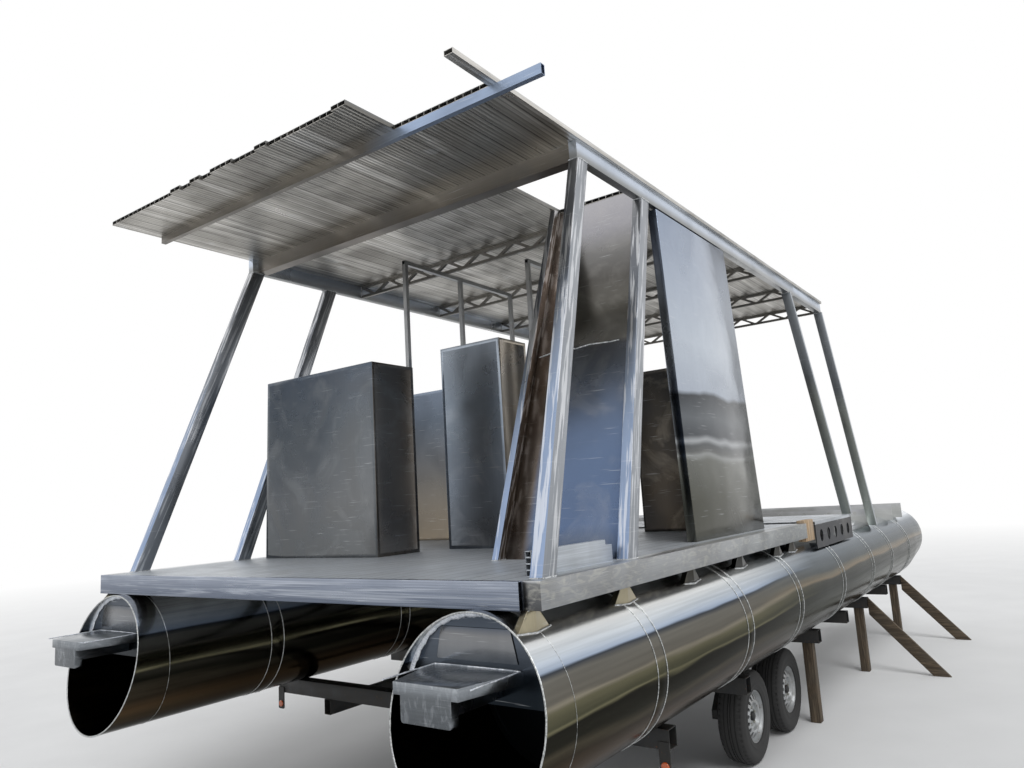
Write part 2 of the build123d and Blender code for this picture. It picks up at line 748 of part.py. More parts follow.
# Axles: a square beam under the rails, a trailing arm and a spindle at each end
rail_outer_y = rail_y + rail_width / 2
for axle_name, station in zip(("axle_aft", "axle_bow"), axle_stations):
    hub_x = along(station)
    beam_x = hub_x + arm_reach
    arm_half = axle_beam / 2 + 5
    with BuildPart() as axle:
        with BuildSketch(Plane.XZ.offset(-rail_outer_y)) as beam:
            with Locations((beam_x, rail_low_z - axle_beam / 2)):
                Rectangle(axle_beam, axle_beam)
        extrude(beam.sketch, amount=2 * rail_outer_y)
        for side in (-1, 1):
            arm_y = side * (rail_outer_y + arm_thick / 2)
            with BuildSketch(Plane.XZ.offset(-arm_y - arm_thick / 2)) as arm:
                with BuildLine():
                    Polyline(
                        (beam_x + axle_beam / 2, rail_low_z),
                        (beam_x - arm_half, rail_low_z),
                        (hub_x - arm_half, wheel_radius + arm_half / 2),
                        (hub_x - arm_half, wheel_radius - arm_half),
                        (hub_x + arm_half, wheel_radius - arm_half),
                        (beam_x + axle_beam / 2, rail_low_z - axle_beam - arm_half / 2),
                        close=True,
                    )
                make_face()
            extrude(arm.sketch, amount=arm_thick)
            with BuildSketch(Plane.XZ.offset(-arm_y)) as spindle:
                with Locations((hub_x, wheel_radius)):
                    Circle(spindle_radius)
            extrude(spindle.sketch, amount=-side * (wheel_y + spindle_reach - abs(arm_y)))
    save(axle, axle_name)

# Wheels: name, axle station, side; a plain tyre on a pressed steel rim with a ring of slots
wheel_table = (
    ("starboard_aft", axle_stations[0], -1),
    ("starboard_bow", axle_stations[1], -1),
    ("port_aft", axle_stations[0], 1),
    ("port_bow", axle_stations[1], 1),
)
half_tyre = tyre_width / 2
half_rim = 75.0
bore_radius = spindle_radius + spindle_clearance
slot_circle = 137.0
slot_count = 16
for wheel_name, station, side in wheel_table:
    centre = Plane(origin=(along(station), side * wheel_y, wheel_radius), x_dir=(0, side, 0), z_dir=(side, 0, 0))
    wheel_axis = Axis(centre.origin, centre.x_dir)
    with BuildPart() as tyre:
        with BuildSketch(centre):
            with BuildLine() as outline:
                Polyline(
                    (0, rim_radius), (half_rim, rim_radius), (half_tyre - 3, 205), (half_tyre, 240),
                    (half_tyre - 12, 285), (half_tyre - 34, wheel_radius - 3), (0, wheel_radius),
                )
                mirror(about=Plane.YZ)
            make_face()
        revolve(axis=wheel_axis)
    save(tyre, f"tyre_{wheel_name}")
    with BuildPart() as rim:
        with BuildSketch(centre):
            with BuildLine():
                Polyline(
                    (-half_rim, rim_radius), (half_rim, rim_radius), (half_rim, 160), (36, 152),
                    (40, 122), (46, 98), (42, 60), (46, 40), (46, 0), (spindle_reach + 5, 0),
                    (spindle_reach + 5, bore_radius), (-60, bore_radius),
                    (-60, 48), (30, 50), (34, 98), (22, 152), (-half_rim, 160),
                    close=True,
                )
            make_face()
        revolve(axis=wheel_axis)
        with BuildSketch(Plane(origin=centre.origin, x_dir=(1, 0, 0), z_dir=(0, side, 0))) as slots:
            with PolarLocations(slot_circle, slot_count):
                SlotOverall(26, 16)
        extrude(slots.sketch, amount=half_rim, mode=Mode.SUBTRACT)
    save(rim, f"rim_{wheel_name}")

# Timber props under three bearers, and raking shores against the ends of two
with BuildPart() as props:
    for side in (-1, 1):
        for station in prop_stations:
            with BuildSketch(Plane.XY) as section:
                with Locations((along(station), side * prop_y)):
                    Rectangle(prop_size, prop_size)
            extrude(section.sketch, amount=bearer_low_z)
save(props, "timber_props")

with BuildPart() as shores:
    shore_top_z = bearer_low_z + bearer_depth
    slant = hypot(shore_reach, shore_top_z) / shore_reach
    for side in (-1, 1):
        for station in shore_stations:
            with BuildSketch(Plane.YZ.offset(along(station) - shore_thick / 2)) as board:
                with BuildLine():
                    Polyline(
                        (side * bearer_half, shore_top_z),
                        (side * bearer_half, shore_top_z - shore_width * slant),
                        (side * (bearer_half + shore_reach - shore_width * slant * shore_reach / shore_top_z), 0),
                        (side * (bearer_half + shore_reach), 0),
                        close=True,
                    )
                make_face()
            extrude(board.sketch, amount=shore_thick)
save(shores, "timber_shores")
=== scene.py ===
"""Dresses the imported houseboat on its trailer: finishes, soft edges, hull shells, welds and wheels."""

import json
import logging
import math
from contextlib import contextmanager
from dataclasses import dataclass, replace
from enum import Enum
from itertools import pairwise
from typing import Any, Callable, Iterator, Mapping, Sequence

import bpy
from mathutils import Matrix, Vector

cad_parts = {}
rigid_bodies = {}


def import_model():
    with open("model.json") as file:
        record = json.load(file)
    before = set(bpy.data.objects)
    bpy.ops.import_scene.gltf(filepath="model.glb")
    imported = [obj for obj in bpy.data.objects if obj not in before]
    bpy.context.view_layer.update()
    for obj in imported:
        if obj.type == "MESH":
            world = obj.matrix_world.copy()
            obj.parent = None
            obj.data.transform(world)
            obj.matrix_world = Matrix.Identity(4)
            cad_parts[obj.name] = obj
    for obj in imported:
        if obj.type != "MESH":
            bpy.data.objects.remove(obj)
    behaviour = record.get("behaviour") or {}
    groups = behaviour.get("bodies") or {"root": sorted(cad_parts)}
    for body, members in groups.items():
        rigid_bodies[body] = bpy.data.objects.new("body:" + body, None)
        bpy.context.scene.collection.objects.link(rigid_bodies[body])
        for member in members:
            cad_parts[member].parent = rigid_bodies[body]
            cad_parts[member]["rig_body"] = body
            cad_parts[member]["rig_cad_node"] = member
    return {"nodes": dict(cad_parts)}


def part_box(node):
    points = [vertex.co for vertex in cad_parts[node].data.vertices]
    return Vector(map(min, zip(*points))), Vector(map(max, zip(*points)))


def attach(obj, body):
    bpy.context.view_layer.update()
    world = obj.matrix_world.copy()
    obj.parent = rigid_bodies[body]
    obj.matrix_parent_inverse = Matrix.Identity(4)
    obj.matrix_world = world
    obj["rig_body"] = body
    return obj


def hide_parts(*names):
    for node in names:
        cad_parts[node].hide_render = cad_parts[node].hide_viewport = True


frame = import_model()

LOG = logging.getLogger("houseboat")
ROOT_BODY = "boat_on_trailer"
MM = 0.001
# The stern's edge, the deck's upper side, and the middle of each hull across the boat and in height
STERN_X = -4.350
DECK_Z = 1.570
HULL_Y = 1.350
HULL_Z = 1.085
WHITE = (1.0, 1.0, 1.0, 1.0)
Point = tuple[float, float, float]


class Side(Enum):
    """The two sides of the boat, with the sign that their Y has."""

    STARBOARD = -1
    PORT = 1


class Run(Enum):
    """The way that a mill's rolling or die lines run, as the pattern's scale per metre.

    Real lines are under 0.1 mm apart and would not show, so they are drawn about 4 mm apart and 200 mm long.
    """

    UPRIGHT = (230.0, 230.0, 5.0)
    LENGTHWISE = (4.0, 230.0, 230.0)
    CROSSWISE = (230.0, 4.0, 230.0)


class Element(Enum):
    """What is picked in a mesh, with edit mode's vertex, edge and face switches."""

    VERTICES = (True, False, False)
    EDGES = (False, True, False)
    POLYGONS = (False, False, True)


class Slot(Enum):
    """Names of shared surfaces, which the build tables list beside their pieces."""

    ROLLED = "rolled_aluminium"
    DULL = "dull_aluminium"
    SHEET = "mill_aluminium"
    WHEEL = "wheel_steel"
    STEEL = "dark_steel"
    TYRE = "tyre_rubber"
    TIMBER = "weathered_timber"


def linear(hex_colour: str) -> tuple[float, float, float, float]:
    """Turns an sRGB hex colour to the linear colour that a shader takes.

    Args:
        hex_colour: Six hex digits after a hash sign.

    Returns:
        Red, green, blue and an alpha of 1.
    """
    channels = [int(hex_colour[i:i + 2], 16) / 255 for i in (1, 3, 5)]
    red, green, blue = (c / 12.92 if c <= 0.04045 else ((c + 0.055) / 1.055) ** 2.4 for c in channels)
    return red, green, blue, 1.0


def wire(tree: bpy.types.NodeTree, node: bpy.types.Node, sockets: Mapping[str | int, Any]) -> None:
    """Sets a node's inputs, each to a value or to a link.

    Args:
        tree: The node tree.
        node: The node whose inputs are set.
        sockets: By input name or number: a value, a socket, or a node whose result is taken.
    """
    for key, value in sockets.items():
        if isinstance(value, bpy.types.Node):
            value = value.outputs[2 if value.bl_idname == "ShaderNodeMix" else 0]
        if isinstance(value, bpy.types.NodeSocket):
            tree.links.new(value, node.inputs[key])
        else:
            node.inputs[key].default_value = value


def add(
    tree: bpy.types.NodeTree,
    kind: str,
    sockets: Mapping[str | int, Any] | None = None,
    stops: Sequence[tuple[float, str]] = (),
    **settings: Any,
) -> bpy.types.Node:
    """Adds one node with its settings, its socket values and its links.

    Args:
        tree: The node tree that takes the node.
        kind: The node's type name after "ShaderNode".
        sockets: What its inputs take, as for wire.
        stops: Positions and hex colours where the node is a colour ramp.
        **settings: Attributes of the node itself.

    Returns:
        The new node.
    """
    node = tree.nodes.new(f"ShaderNode{kind}")
    for key, value in settings.items():
        setattr(node, key, value)
    wire(tree, node, sockets or {})
    for index, (position, colour) in enumerate(stops):
        elements = node.color_ramp.elements
        element = elements[index] if index < len(elements) else elements.new(position)
        element.position = position
        element.color = linear(colour)
    return node


@dataclass(frozen=True)
class Finish:
    """A real surface finish that becomes one material."""

    name: str

    def material(self) -> bpy.types.Material:
        """Makes the finish's material the first time that it is asked for.

        Returns:
            The material.
        """
        made = bpy.data.materials.get(self.name)
        if made:
            return made
        made = bpy.data.materials.new(self.name)
        made.use_nodes = True
        tree = made.node_tree
        tree.nodes.clear()
        shader = add(tree, "BsdfPrincipled")
        add(tree, "OutputMaterial", {"Surface": shader})
        self.fill(tree, shader)
        return made

    def fill(self, tree: bpy.types.NodeTree, shader: bpy.types.Node) -> None:
        """Adds the finish's own nodes before the shader.

        Args:
            tree: The material's node tree.
            shader: The Principled shader that the nodes feed.
        """
        raise NotImplementedError

    def dress(self, *objects: bpy.types.Object) -> None:
        """Gives the material to objects as their only one.

        Args:
            *objects: Mesh objects, CAD nodes among them.
        """
        for target in objects:
            target.data.materials.clear()
            target.data.materials.append(self.material())


@dataclass(frozen=True)
class MillAluminium(Finish):
    """Bare aluminium as the mill leaves it: hazy metal with rolling lines, smears and fine scratches."""

    roughness: float = 0.34
    metallic: float = 1.0
    # Tones by height, from low_z to high_z, which on most finishes paint reflections and shade; sway says by
    # how many metres their borders wander.
    tones: tuple[tuple[float, str], ...] = ((0.0, "#8d9399"), (1.0, "#a3a9b0"))
    low_z: float = DECK_Z
    high_z: float = 3.66
    sway: float = 0.10
    # Painted light and shade on the faces that look to starboard, and a tone that takes over along an axis,
    # which paints shade and sky reflection on most finishes that set it.
    side_tone: str = ""
    fade_axis: str = "X"
    fade_from: float = 0.0
    fade_length: float = 0.4
    fade_tone: str = ""
    # Rolling or die lines, and how far a raked and leaning tube tilts them.
    run: Run = Run.UPRIGHT
    line_contrast: float = 0.06
    line_bump: float = 0.10
    rake: float = 0.0
    lean: float = 0.0
    # Slight buckles, scratches, smears, torn film, and broad pale patches that are painted highlights and
    # reflections on most finishes and real stains on the side beam. Scales are cells per metre.
    buckle: float = 0.35
    wave_scale: float = 1.7
    scratch_amount: float = 0.30
    smear: str = "#5c6067"
    smear_amount: float = 0.35
    flake: str = "#f2f4f7"
    flake_amount: float = 0.0
    flake_scale: Point = (55.0, 55.0, 3.2)
    glint: str = "#d8d5cf"
    glint_amount: float = 0.0
    glint_scale: Point = (1.2, 2.6, 2.6)
    # Joints between planks, and the ridges on them, whose grooves groove_shade darkens as painted shade.
    joint_pitch: float = 0.0
    joint_phase: float = 0.0
    ridge_axis: str = ""
    ridge_pitch: float = 12.5 * MM
    ridge_depth: float = 1.0 * MM
    groove_shade: float = 0.62

    def fill(self, tree: bpy.types.NodeTree, shader: bpy.types.Node) -> None:
        """Adds the tones by height and by facing, which paint reflections, light and shade, then smears,
        mill lines, scratches and the sheet's slight buckles.

        Args:
            tree: The material's node tree.
            shader: The Principled shader that the nodes feed.
        """
        place = add(tree, "TexCoord").outputs["Object"]
        parts = add(tree, "SeparateXYZ", {0: place})
        along = place
        if self.rake:
            outboard = add(tree, "Math", {0: parts.outputs["Y"]}, operation="ABSOLUTE")
            upright_x = add(tree, "Math", {
                0: parts.outputs["Z"], 1: -self.rake, 2: parts.outputs["X"],
            }, operation="MULTIPLY_ADD")
            upright_y = add(tree, "Math", {
                0: parts.outputs["Z"], 1: self.lean, 2: outboard,
            }, operation="MULTIPLY_ADD")
            along = add(tree, "CombineXYZ", {0: upright_x, 1: upright_y, 2: parts.outputs["Z"]})
        stretched = add(tree, "Mapping", {"Vector": along, "Scale": self.run.value})
        lines = add(tree, "TexNoise", {"Vector": stretched, "Scale": 1.0, "Detail": 3.0})
        # Smears are some 400 mm across, and the buckles some 600 mm unless a finish says otherwise.
        cloud = add(tree, "TexNoise", {"Vector": place, "Scale": 2.4, "Detail": 5.0, "Distortion": 0.7})
        wave = add(tree, "TexNoise", {"Vector": place, "Scale": self.wave_scale, "Detail": 1.5})
        bent = add(tree, "Math", {0: wave, 1: self.sway, 2: parts.outputs["Z"]}, operation="MULTIPLY_ADD")
        level = add(tree, "MapRange", {
            "Value": bent,
            "From Min": self.low_z + self.sway / 2,
            "From Max": self.high_z + self.sway / 2,
        })
        # Tones by height: on most finishes a painted reflection and painted shade.
        colour = add(tree, "ValToRGB", {"Fac": level}, stops=self.tones)
        # Painted light and shade: faces that look to starboard take a tone of their own.
        if self.side_tone:
            facing = add(tree, "SeparateXYZ", {0: add(tree, "NewGeometry").outputs["Normal"]})
            turned_away = add(tree, "Math", {0: facing.outputs["Y"], 1: -0.6}, operation="LESS_THAN")
            colour = add(
                tree, "Mix", {0: turned_away, 6: colour, 7: linear(self.side_tone)},
                data_type="RGBA",
            )
        # A tone that takes over along an axis: painted shade and painted sky reflection on most finishes
        # that set it.
        if self.fade_tone:
            shade = add(tree, "MapRange", {
                "Value": parts.outputs[self.fade_axis],
                "From Min": self.fade_from,
                "From Max": self.fade_from + self.fade_length,
            })
            colour = add(tree, "Mix", {0: shade, 6: colour, 7: linear(self.fade_tone)}, data_type="RGBA")
        smeared = add(tree, "MapRange", {
            "Value": cloud, "From Min": 0.42, "From Max": 0.72, "To Max": self.smear_amount,
        })
        colour = add(tree, "Mix", {0: smeared, 6: colour, 7: linear(self.smear)}, data_type="RGBA")
        # Handling scratches are 0.1 mm wide; they are drawn 5 mm wide and 200 mm long, so that they show.
        slanted = add(tree, "Mapping", {
            "Vector": place, "Rotation": (0.5, 0.35, 0.6), "Scale": (5.0, 5.0, 190.0),
        })
        marks = add(tree, "TexNoise", {"Vector": slanted, "Scale": 1.0, "Detail": 1.0})
        scratch = add(tree, "MapRange", {
            "Value": marks, "From Min": 0.70, "From Max": 0.76, "To Max": self.scratch_amount,
        })
        colour = add(tree, "Mix", {0: scratch, 6: colour, 7: linear("#d9dcdf")}, data_type="RGBA")
        # Torn strips of protective film, about 18 mm wide and 300 mm long.
        if self.flake_amount:
            upright = add(tree, "Mapping", {"Vector": along, "Scale": self.flake_scale})
            film = add(tree, "TexNoise", {"Vector": upright, "Scale": 1.0, "Detail": 5.0})
            peeled = add(tree, "MapRange", {
                "Value": film, "From Min": 0.53, "From Max": 0.57, "To Max": self.flake_amount,
            })
            colour = add(tree, "Mix", {0: peeled, 6: colour, 7: linear(self.flake)}, data_type="RGBA")
        # Broad pale patches: painted highlights and reflections, except on the side beam, where they are
        # real stains.
        if self.glint_amount:
            sheen_and_stain_space = add(tree, "Mapping", {"Vector": place, "Scale": self.glint_scale})
            spill = add(
                tree, "TexNoise",
                {"Vector": sheen_and_stain_space, "Scale": 1.0, "Detail": 4.0, "Roughness": 0.6, "Distortion": 1.6},
            )
            sheen_and_stain_mask = add(tree, "MapRange", {
                "Value": spill, "From Min": 0.50, "From Max": 0.68, "To Max": self.glint_amount,
            })
            colour = add(tree, "Mix", {0: sheen_and_stain_mask, 6: colour, 7: linear(self.glint)}, data_type="RGBA")
        fine = add(tree, "MapRange", {
            "Value": lines, "From Min": 0.3, "From Max": 0.7,
            "To Min": 1 - self.line_contrast, "To Max": 1 + self.line_contrast,
        })
        bump = add(tree, "Bump", {"Height": wave, "Strength": self.buckle, "Distance": 0.03})
        if self.ridge_axis:
            ridge = add(tree, "Math", {
                0: parts.outputs[self.ridge_axis], 1: 2 * math.pi / self.ridge_pitch,
            }, operation="MULTIPLY")
            swell = add(tree, "Math", {0: ridge}, operation="SINE")
            bump = add(tree, "Bump", {
                "Height": swell, "Strength": 0.5, "Distance": self.ridge_depth, "Normal": bump,
            })
            # Painted shade darkens the grooves between the ridges.
            groove = add(tree, "MapRange", {
                "Value": swell, "From Min": -1.0, "From Max": -0.2, "To Min": self.groove_shade,
                "To Max": 1.0,
            })
            fine = add(tree, "Math", {0: fine, 1: groove}, operation="MULTIPLY")
        if self.joint_pitch:
            count = add(tree, "Math", {
                0: parts.outputs["Y"], 1: 1 / self.joint_pitch, 2: self.joint_phase,
            }, operation="MULTIPLY_ADD")
            share = add(tree, "Math", {0: count}, operation="FRACT")
            near = add(tree, "Math", {0: share, 1: 0.5}, operation="SUBTRACT")
            near = add(tree, "Math", {0: near}, operation="ABSOLUTE")
            seam = add(tree, "MapRange", {
                "Value": near, "From Min": 0.44, "From Max": 0.49, "To Min": 1.0, "To Max": 0.45,
            })
            fine = add(tree, "Math", {0: fine, 1: seam}, operation="MULTIPLY")
        bump = add(tree, "Bump", {
            "Height": lines, "Strength": self.line_bump, "Distance": 0.4 * MM, "Normal": bump,
        })
        shaded = add(tree, "VectorMath", {0: colour, "Scale": fine}, operation="SCALE")
        haze = add(tree, "MapRange", {
            "Value": cloud, "From Min": 0.3, "From Max": 0.7,
            "To Min": self.roughness - 0.07, "To Max": self.roughness + 0.12,
        })
        wire(tree, shader, {
            "Base Color": shaded, "Roughness": haze, "Normal": bump, "Metallic": self.metallic,
        })


@dataclass(frozen=True)
class RolledPlate(Finish):
    """Shiny aluminium plate rolled to a tube: long streaks along it, and a painted reflection of pale sky on
    its top and of warm ground down its sides.
    """

    side: Side = Side.STARBOARD

    def fill(self, tree: bpy.types.NodeTree, shader: bpy.types.Node) -> None:
        """Adds painted reflections that change round the tube and streaks that run along it.

        Args:
            tree: The material's node tree.
            shader: The Principled shader that the nodes feed.
        """
        place = add(tree, "TexCoord").outputs["Object"]
        centred = add(tree, "Mapping", {
            "Vector": place, "Location": (0.0, -self.side.value * HULL_Y, -HULL_Z),
        })
        parts = add(tree, "SeparateXYZ", {0: centred})
        # Rolling leaves bands about 110 mm wide and 1.8 m long, and in them streaks about 30 mm wide.
        long_scale = add(tree, "Mapping", {"Vector": place, "Scale": (0.55, 9.0, 9.0)})
        drift = add(tree, "TexNoise", {"Vector": long_scale, "Scale": 1.0, "Detail": 3.0})
        streak_scale = add(tree, "Mapping", {"Vector": place, "Scale": (0.8, 34.0, 34.0)})
        streaks = add(tree, "TexNoise", {"Vector": streak_scale, "Scale": 1.0, "Detail": 5.0})
        slow = add(tree, "TexNoise", {"Vector": place, "Scale": 0.9, "Detail": 2.0})
        # The angle from the tube's top, 0 to 180 degrees, with noise that lets the tones' borders wander.
        turn = add(tree, "Math", {
            0: add(tree, "Math", {0: parts.outputs["Y"]}, operation="ABSOLUTE"),
            1: parts.outputs["Z"],
        }, operation="ARCTAN2")
        lower = add(tree, "MapRange", {
            "Value": turn, "From Min": 1.05, "From Max": 1.6, "To Min": 0.10, "To Max": 0.34,
        })
        nudged = add(tree, "Math", {0: drift, 1: lower, 2: turn}, operation="MULTIPLY_ADD")
        nudged = add(tree, "Math", {0: slow, 1: 0.16, 2: nudged}, operation="MULTIPLY_ADD")
        round_it = add(tree, "MapRange", {"Value": nudged, "From Min": 0.16, "From Max": 0.16 + math.pi})
        # Painted reflections from the tube's top to its bottom, pale sky above a dark horizon line and olive
        # and brown ground below: near the stern, and then those of its forward length.
        aft = add(tree, "ValToRGB", {"Fac": round_it}, stops=(
            (0.000, "#e0e1e1"), (0.190, "#e8e6e1"), (0.260, "#cdd1d4"), (0.300, "#bac2cb"),
            (0.336, "#a0adc0"), (0.346, "#393e46"), (0.375, "#6a6862"), (0.440, "#5f5c55"),
            (0.455, "#857f71"), (0.475, "#66634f"), (0.525, "#4f4e3e"), (0.537, "#7a765d"),
            (0.548, "#2a2924"), (0.605, "#2f2e27"), (0.628, "#524c3f"), (0.655, "#3b342a"),
            (0.735, "#564532"), (0.850, "#3c362b"), (1.000, "#2b2922"),
        ))
        bow = add(tree, "ValToRGB", {"Fac": round_it}, stops=(
            (0.000, "#e6e8e9"), (0.165, "#eceff2"), (0.195, "#c0c6cc"), (0.235, "#8b9299"),
            (0.300, "#6d747a"), (0.400, "#535859"), (0.425, "#6f6a5e"), (0.450, "#7f725f"),
            (0.468, "#3a3b34"), (0.550, "#2f322b"), (0.650, "#44473a"), (0.750, "#2c2e27"),
            (1.000, "#26271f"),
        ))
        forward = add(tree, "MapRange", {
            "Value": parts.outputs["X"], "From Min": STERN_X + 2.1, "From Max": STERN_X + 3.6,
        })
        tone = add(tree, "Mix", {0: forward, 6: aft, 7: bow}, data_type="RGBA")
        thin = add(tree, "MapRange", {
            "Value": streaks, "From Min": 0.32, "From Max": 0.68, "To Min": 0.88, "To Max": 1.14,
        })
        shaded = add(tree, "VectorMath", {0: tone, "Scale": thin}, operation="SCALE")
        bump = add(tree, "Bump", {"Height": slow, "Strength": 0.25, "Distance": 0.03})
        bump = add(tree, "Bump", {"Height": drift, "Strength": 0.2, "Distance": 0.004, "Normal": bump})
        gloss = add(tree, "MapRange", {
            "Value": streaks, "From Min": 0.3, "From Max": 0.7, "To Min": 0.12, "To Max": 0.24,
        })
        # The edge tint stays far from white: a painted reflection of dark surroundings at a low angle.
        edge = add(tree, "Mix", {0: 0.55, 6: shaded, 7: WHITE}, data_type="RGBA")
        wire(tree, shader, {
            "Base Color": shaded, "Specular Tint": edge, "Roughness": gloss, "Normal": bump,
            "Metallic": 1.0,
        })


@dataclass(frozen=True)
class WeldMetal(Finish):
    """Welded aluminium filler: bright rippled beads with grey smut between."""

    bright: str = "#e2e4e5"
    dull: str = "#8f9396"

    def fill(self, tree: bpy.types.NodeTree, shader: bpy.types.Node) -> None:
        """Adds the ripples and the smut.

        Args:
            tree: The material's node tree.
            shader: The Principled shader that the nodes feed.
        """
        place = add(tree, "TexCoord").outputs["Object"]
        # Weld ripples are 1 to 2 mm apart; they are drawn about 6 mm apart, so that they show.
        ripple = add(tree, "TexNoise", {"Vector": place, "Scale": 160.0, "Detail": 2.0})
        tone = add(tree, "ValToRGB", {"Fac": ripple}, stops=((0.36, self.dull), (0.60, self.bright)))
        bump = add(tree, "Bump", {"Height": ripple, "Strength": 0.5, "Distance": 1.0 * MM})
        wire(tree, shader, {"Base Color": tone, "Normal": bump, "Metallic": 0.7, "Roughness": 0.42})


@dataclass(frozen=True)
class PaintedSteel(Finish):
    """Painted steel with dust on it and a few chips down to rust."""

    paint: str = "#17191b"
    dust: str = "#4b463d"
    chip: str = "#5d3a24"
    metallic: float = 0.0
    roughness: float = 0.48
    dust_amount: float = 0.45

    def fill(self, tree: bpy.types.NodeTree, shader: bpy.types.Node) -> None:
        """Adds the dust, the chips and the paint's orange-peel.

        Args:
            tree: The material's node tree.
            shader: The Principled shader that the nodes feed.
        """
        place = add(tree, "TexCoord").outputs["Object"]
        # Dust lies in patches of about 110 mm, and chips are about 14 mm across.
        cloud = add(tree, "TexNoise", {"Vector": place, "Scale": 9.0, "Detail": 6.0, "Roughness": 0.65})
        speck = add(tree, "TexNoise", {"Vector": place, "Scale": 70.0, "Detail": 3.0})
        dusty = add(tree, "MapRange", {
            "Value": cloud, "From Min": 0.42, "From Max": 0.75, "To Max": self.dust_amount,
        })
        chipped = add(tree, "MapRange", {"Value": speck, "From Min": 0.67, "From Max": 0.70})
        tone = add(tree, "Mix", {0: dusty, 6: linear(self.paint), 7: linear(self.dust)}, data_type="RGBA")
        tone = add(tree, "Mix", {0: chipped, 6: tone, 7: linear(self.chip)}, data_type="RGBA")
        dull = add(tree, "MapRange", {
            "Value": cloud, "From Min": 0.3, "From Max": 0.7,
            "To Min": self.roughness - 0.08, "To Max": self.roughness + 0.25,
        })
        bump = add(tree, "Bump", {"Height": speck, "Strength": 0.15, "Distance": 0.5 * MM})
        wire(tree, shader, {
            "Base Color": tone, "Roughness": dull, "Normal": bump, "Metallic": self.metallic,
        })


@dataclass(frozen=True)
class TyreRubber(Finish):
    """Black vulcanised rubber, dull, with dried mud and dust in its low places."""

    def fill(self, tree: bpy.types.NodeTree, shader: bpy.types.Node) -> None:
        """Adds the rubber's tone and the mud.

        Args:
            tree: The material's node tree.
            shader: The Principled shader that the nodes feed.
        """
        place = add(tree, "TexCoord").outputs["Object"]
        # Mud lies in patches of about 70 mm; its grit is drawn as 4 mm grains, coarser than real.
        mud = add(tree, "TexNoise", {"Vector": place, "Scale": 14.0, "Detail": 6.0, "Roughness": 0.7})
        grit = add(tree, "TexNoise", {"Vector": place, "Scale": 260.0, "Detail": 2.0})
        tone = add(tree, "ValToRGB", {"Fac": mud}, stops=(
            (0.40, "#141618"), (0.62, "#1b1d1f"), (0.80, "#322f29"),
        ))
        bump = add(tree, "Bump", {"Height": grit, "Strength": 0.25, "Distance": 0.5 * MM})
        wire(tree, shader, {
            "Base Color": tone, "Normal": bump, "Roughness": 0.82, "Specular IOR Level": 0.0,
        })


@dataclass(frozen=True)
class SawnTimber(Finish):
    """Rough sawn softwood left outdoors: grey-brown grain with dark cracks and knots."""

    run: Run = Run.UPRIGHT
    light: str = "#6f6150"
    dark: str = "#2b251d"
    middle: str = "#493e31"
    pale: str = "#85765f"
    weathered: str = "#4c463e"

    def fill(self, tree: bpy.types.NodeTree, shader: bpy.types.Node) -> None:
        """Adds the grain, the saw marks and the weathering.

        Args:
            tree: The material's node tree.
            shader: The Principled shader that the nodes feed.
        """
        place = add(tree, "TexCoord").outputs["Object"]
        long_axis = max(range(3), key=lambda i: -self.run.value[i])
        # Grain lines are 3 to 5 mm apart in softwood; they are drawn about 16 mm apart, so that they show.
        grain_scale = tuple(3.0 if i == long_axis else 60.0 for i in range(3))
        stretched = add(tree, "Mapping", {"Vector": place, "Scale": grain_scale})
        grain = add(
            tree, "TexNoise",
            {"Vector": stretched, "Scale": 1.0, "Detail": 6.0, "Roughness": 0.7, "Distortion": 1.2},
        )
        patch = add(tree, "TexNoise", {"Vector": place, "Scale": 7.0, "Detail": 3.0})
        tone = add(tree, "ValToRGB", {"Fac": grain}, stops=(
            (0.30, self.dark), (0.47, self.middle), (0.62, self.light), (0.80, self.pale),
        ))
        grey = add(tree, "MapRange", {"Value": patch, "From Min": 0.4, "From Max": 0.7, "To Max": 0.6})
        tone = add(tree, "Mix", {0: grey, 6: tone, 7: linear(self.weathered)}, data_type="RGBA")
        bump = add(tree, "Bump", {"Height": grain, "Strength": 0.7, "Distance": 2.5 * MM})
        wire(tree, shader, {"Base Color": tone, "Normal": bump, "Roughness": 0.88})


@dataclass(frozen=True)
class ReflectorPlastic(Finish):
    """Moulded acrylic reflector: clear orange plastic with a prism grid behind a smooth face."""

    def fill(self, tree: bpy.types.NodeTree, shader: bpy.types.Node) -> None:
        """Adds the prism grid.

        Args:
            tree: The material's node tree.
            shader: The Principled shader that the nodes feed.
        """
        place = add(tree, "TexCoord").outputs["Object"]
        # The prisms behind the face are about 4 mm across.
        prisms = add(tree, "TexVoronoi", {"Vector": place, "Scale": 260.0})
        tone = add(tree, "ValToRGB", {"Fac": prisms}, stops=((0.1, "#e8742a"), (0.8, "#a93c10")))
        wire(tree, shader, {"Base Color": tone, "Roughness": 0.15, "Coat Weight": 1.0})


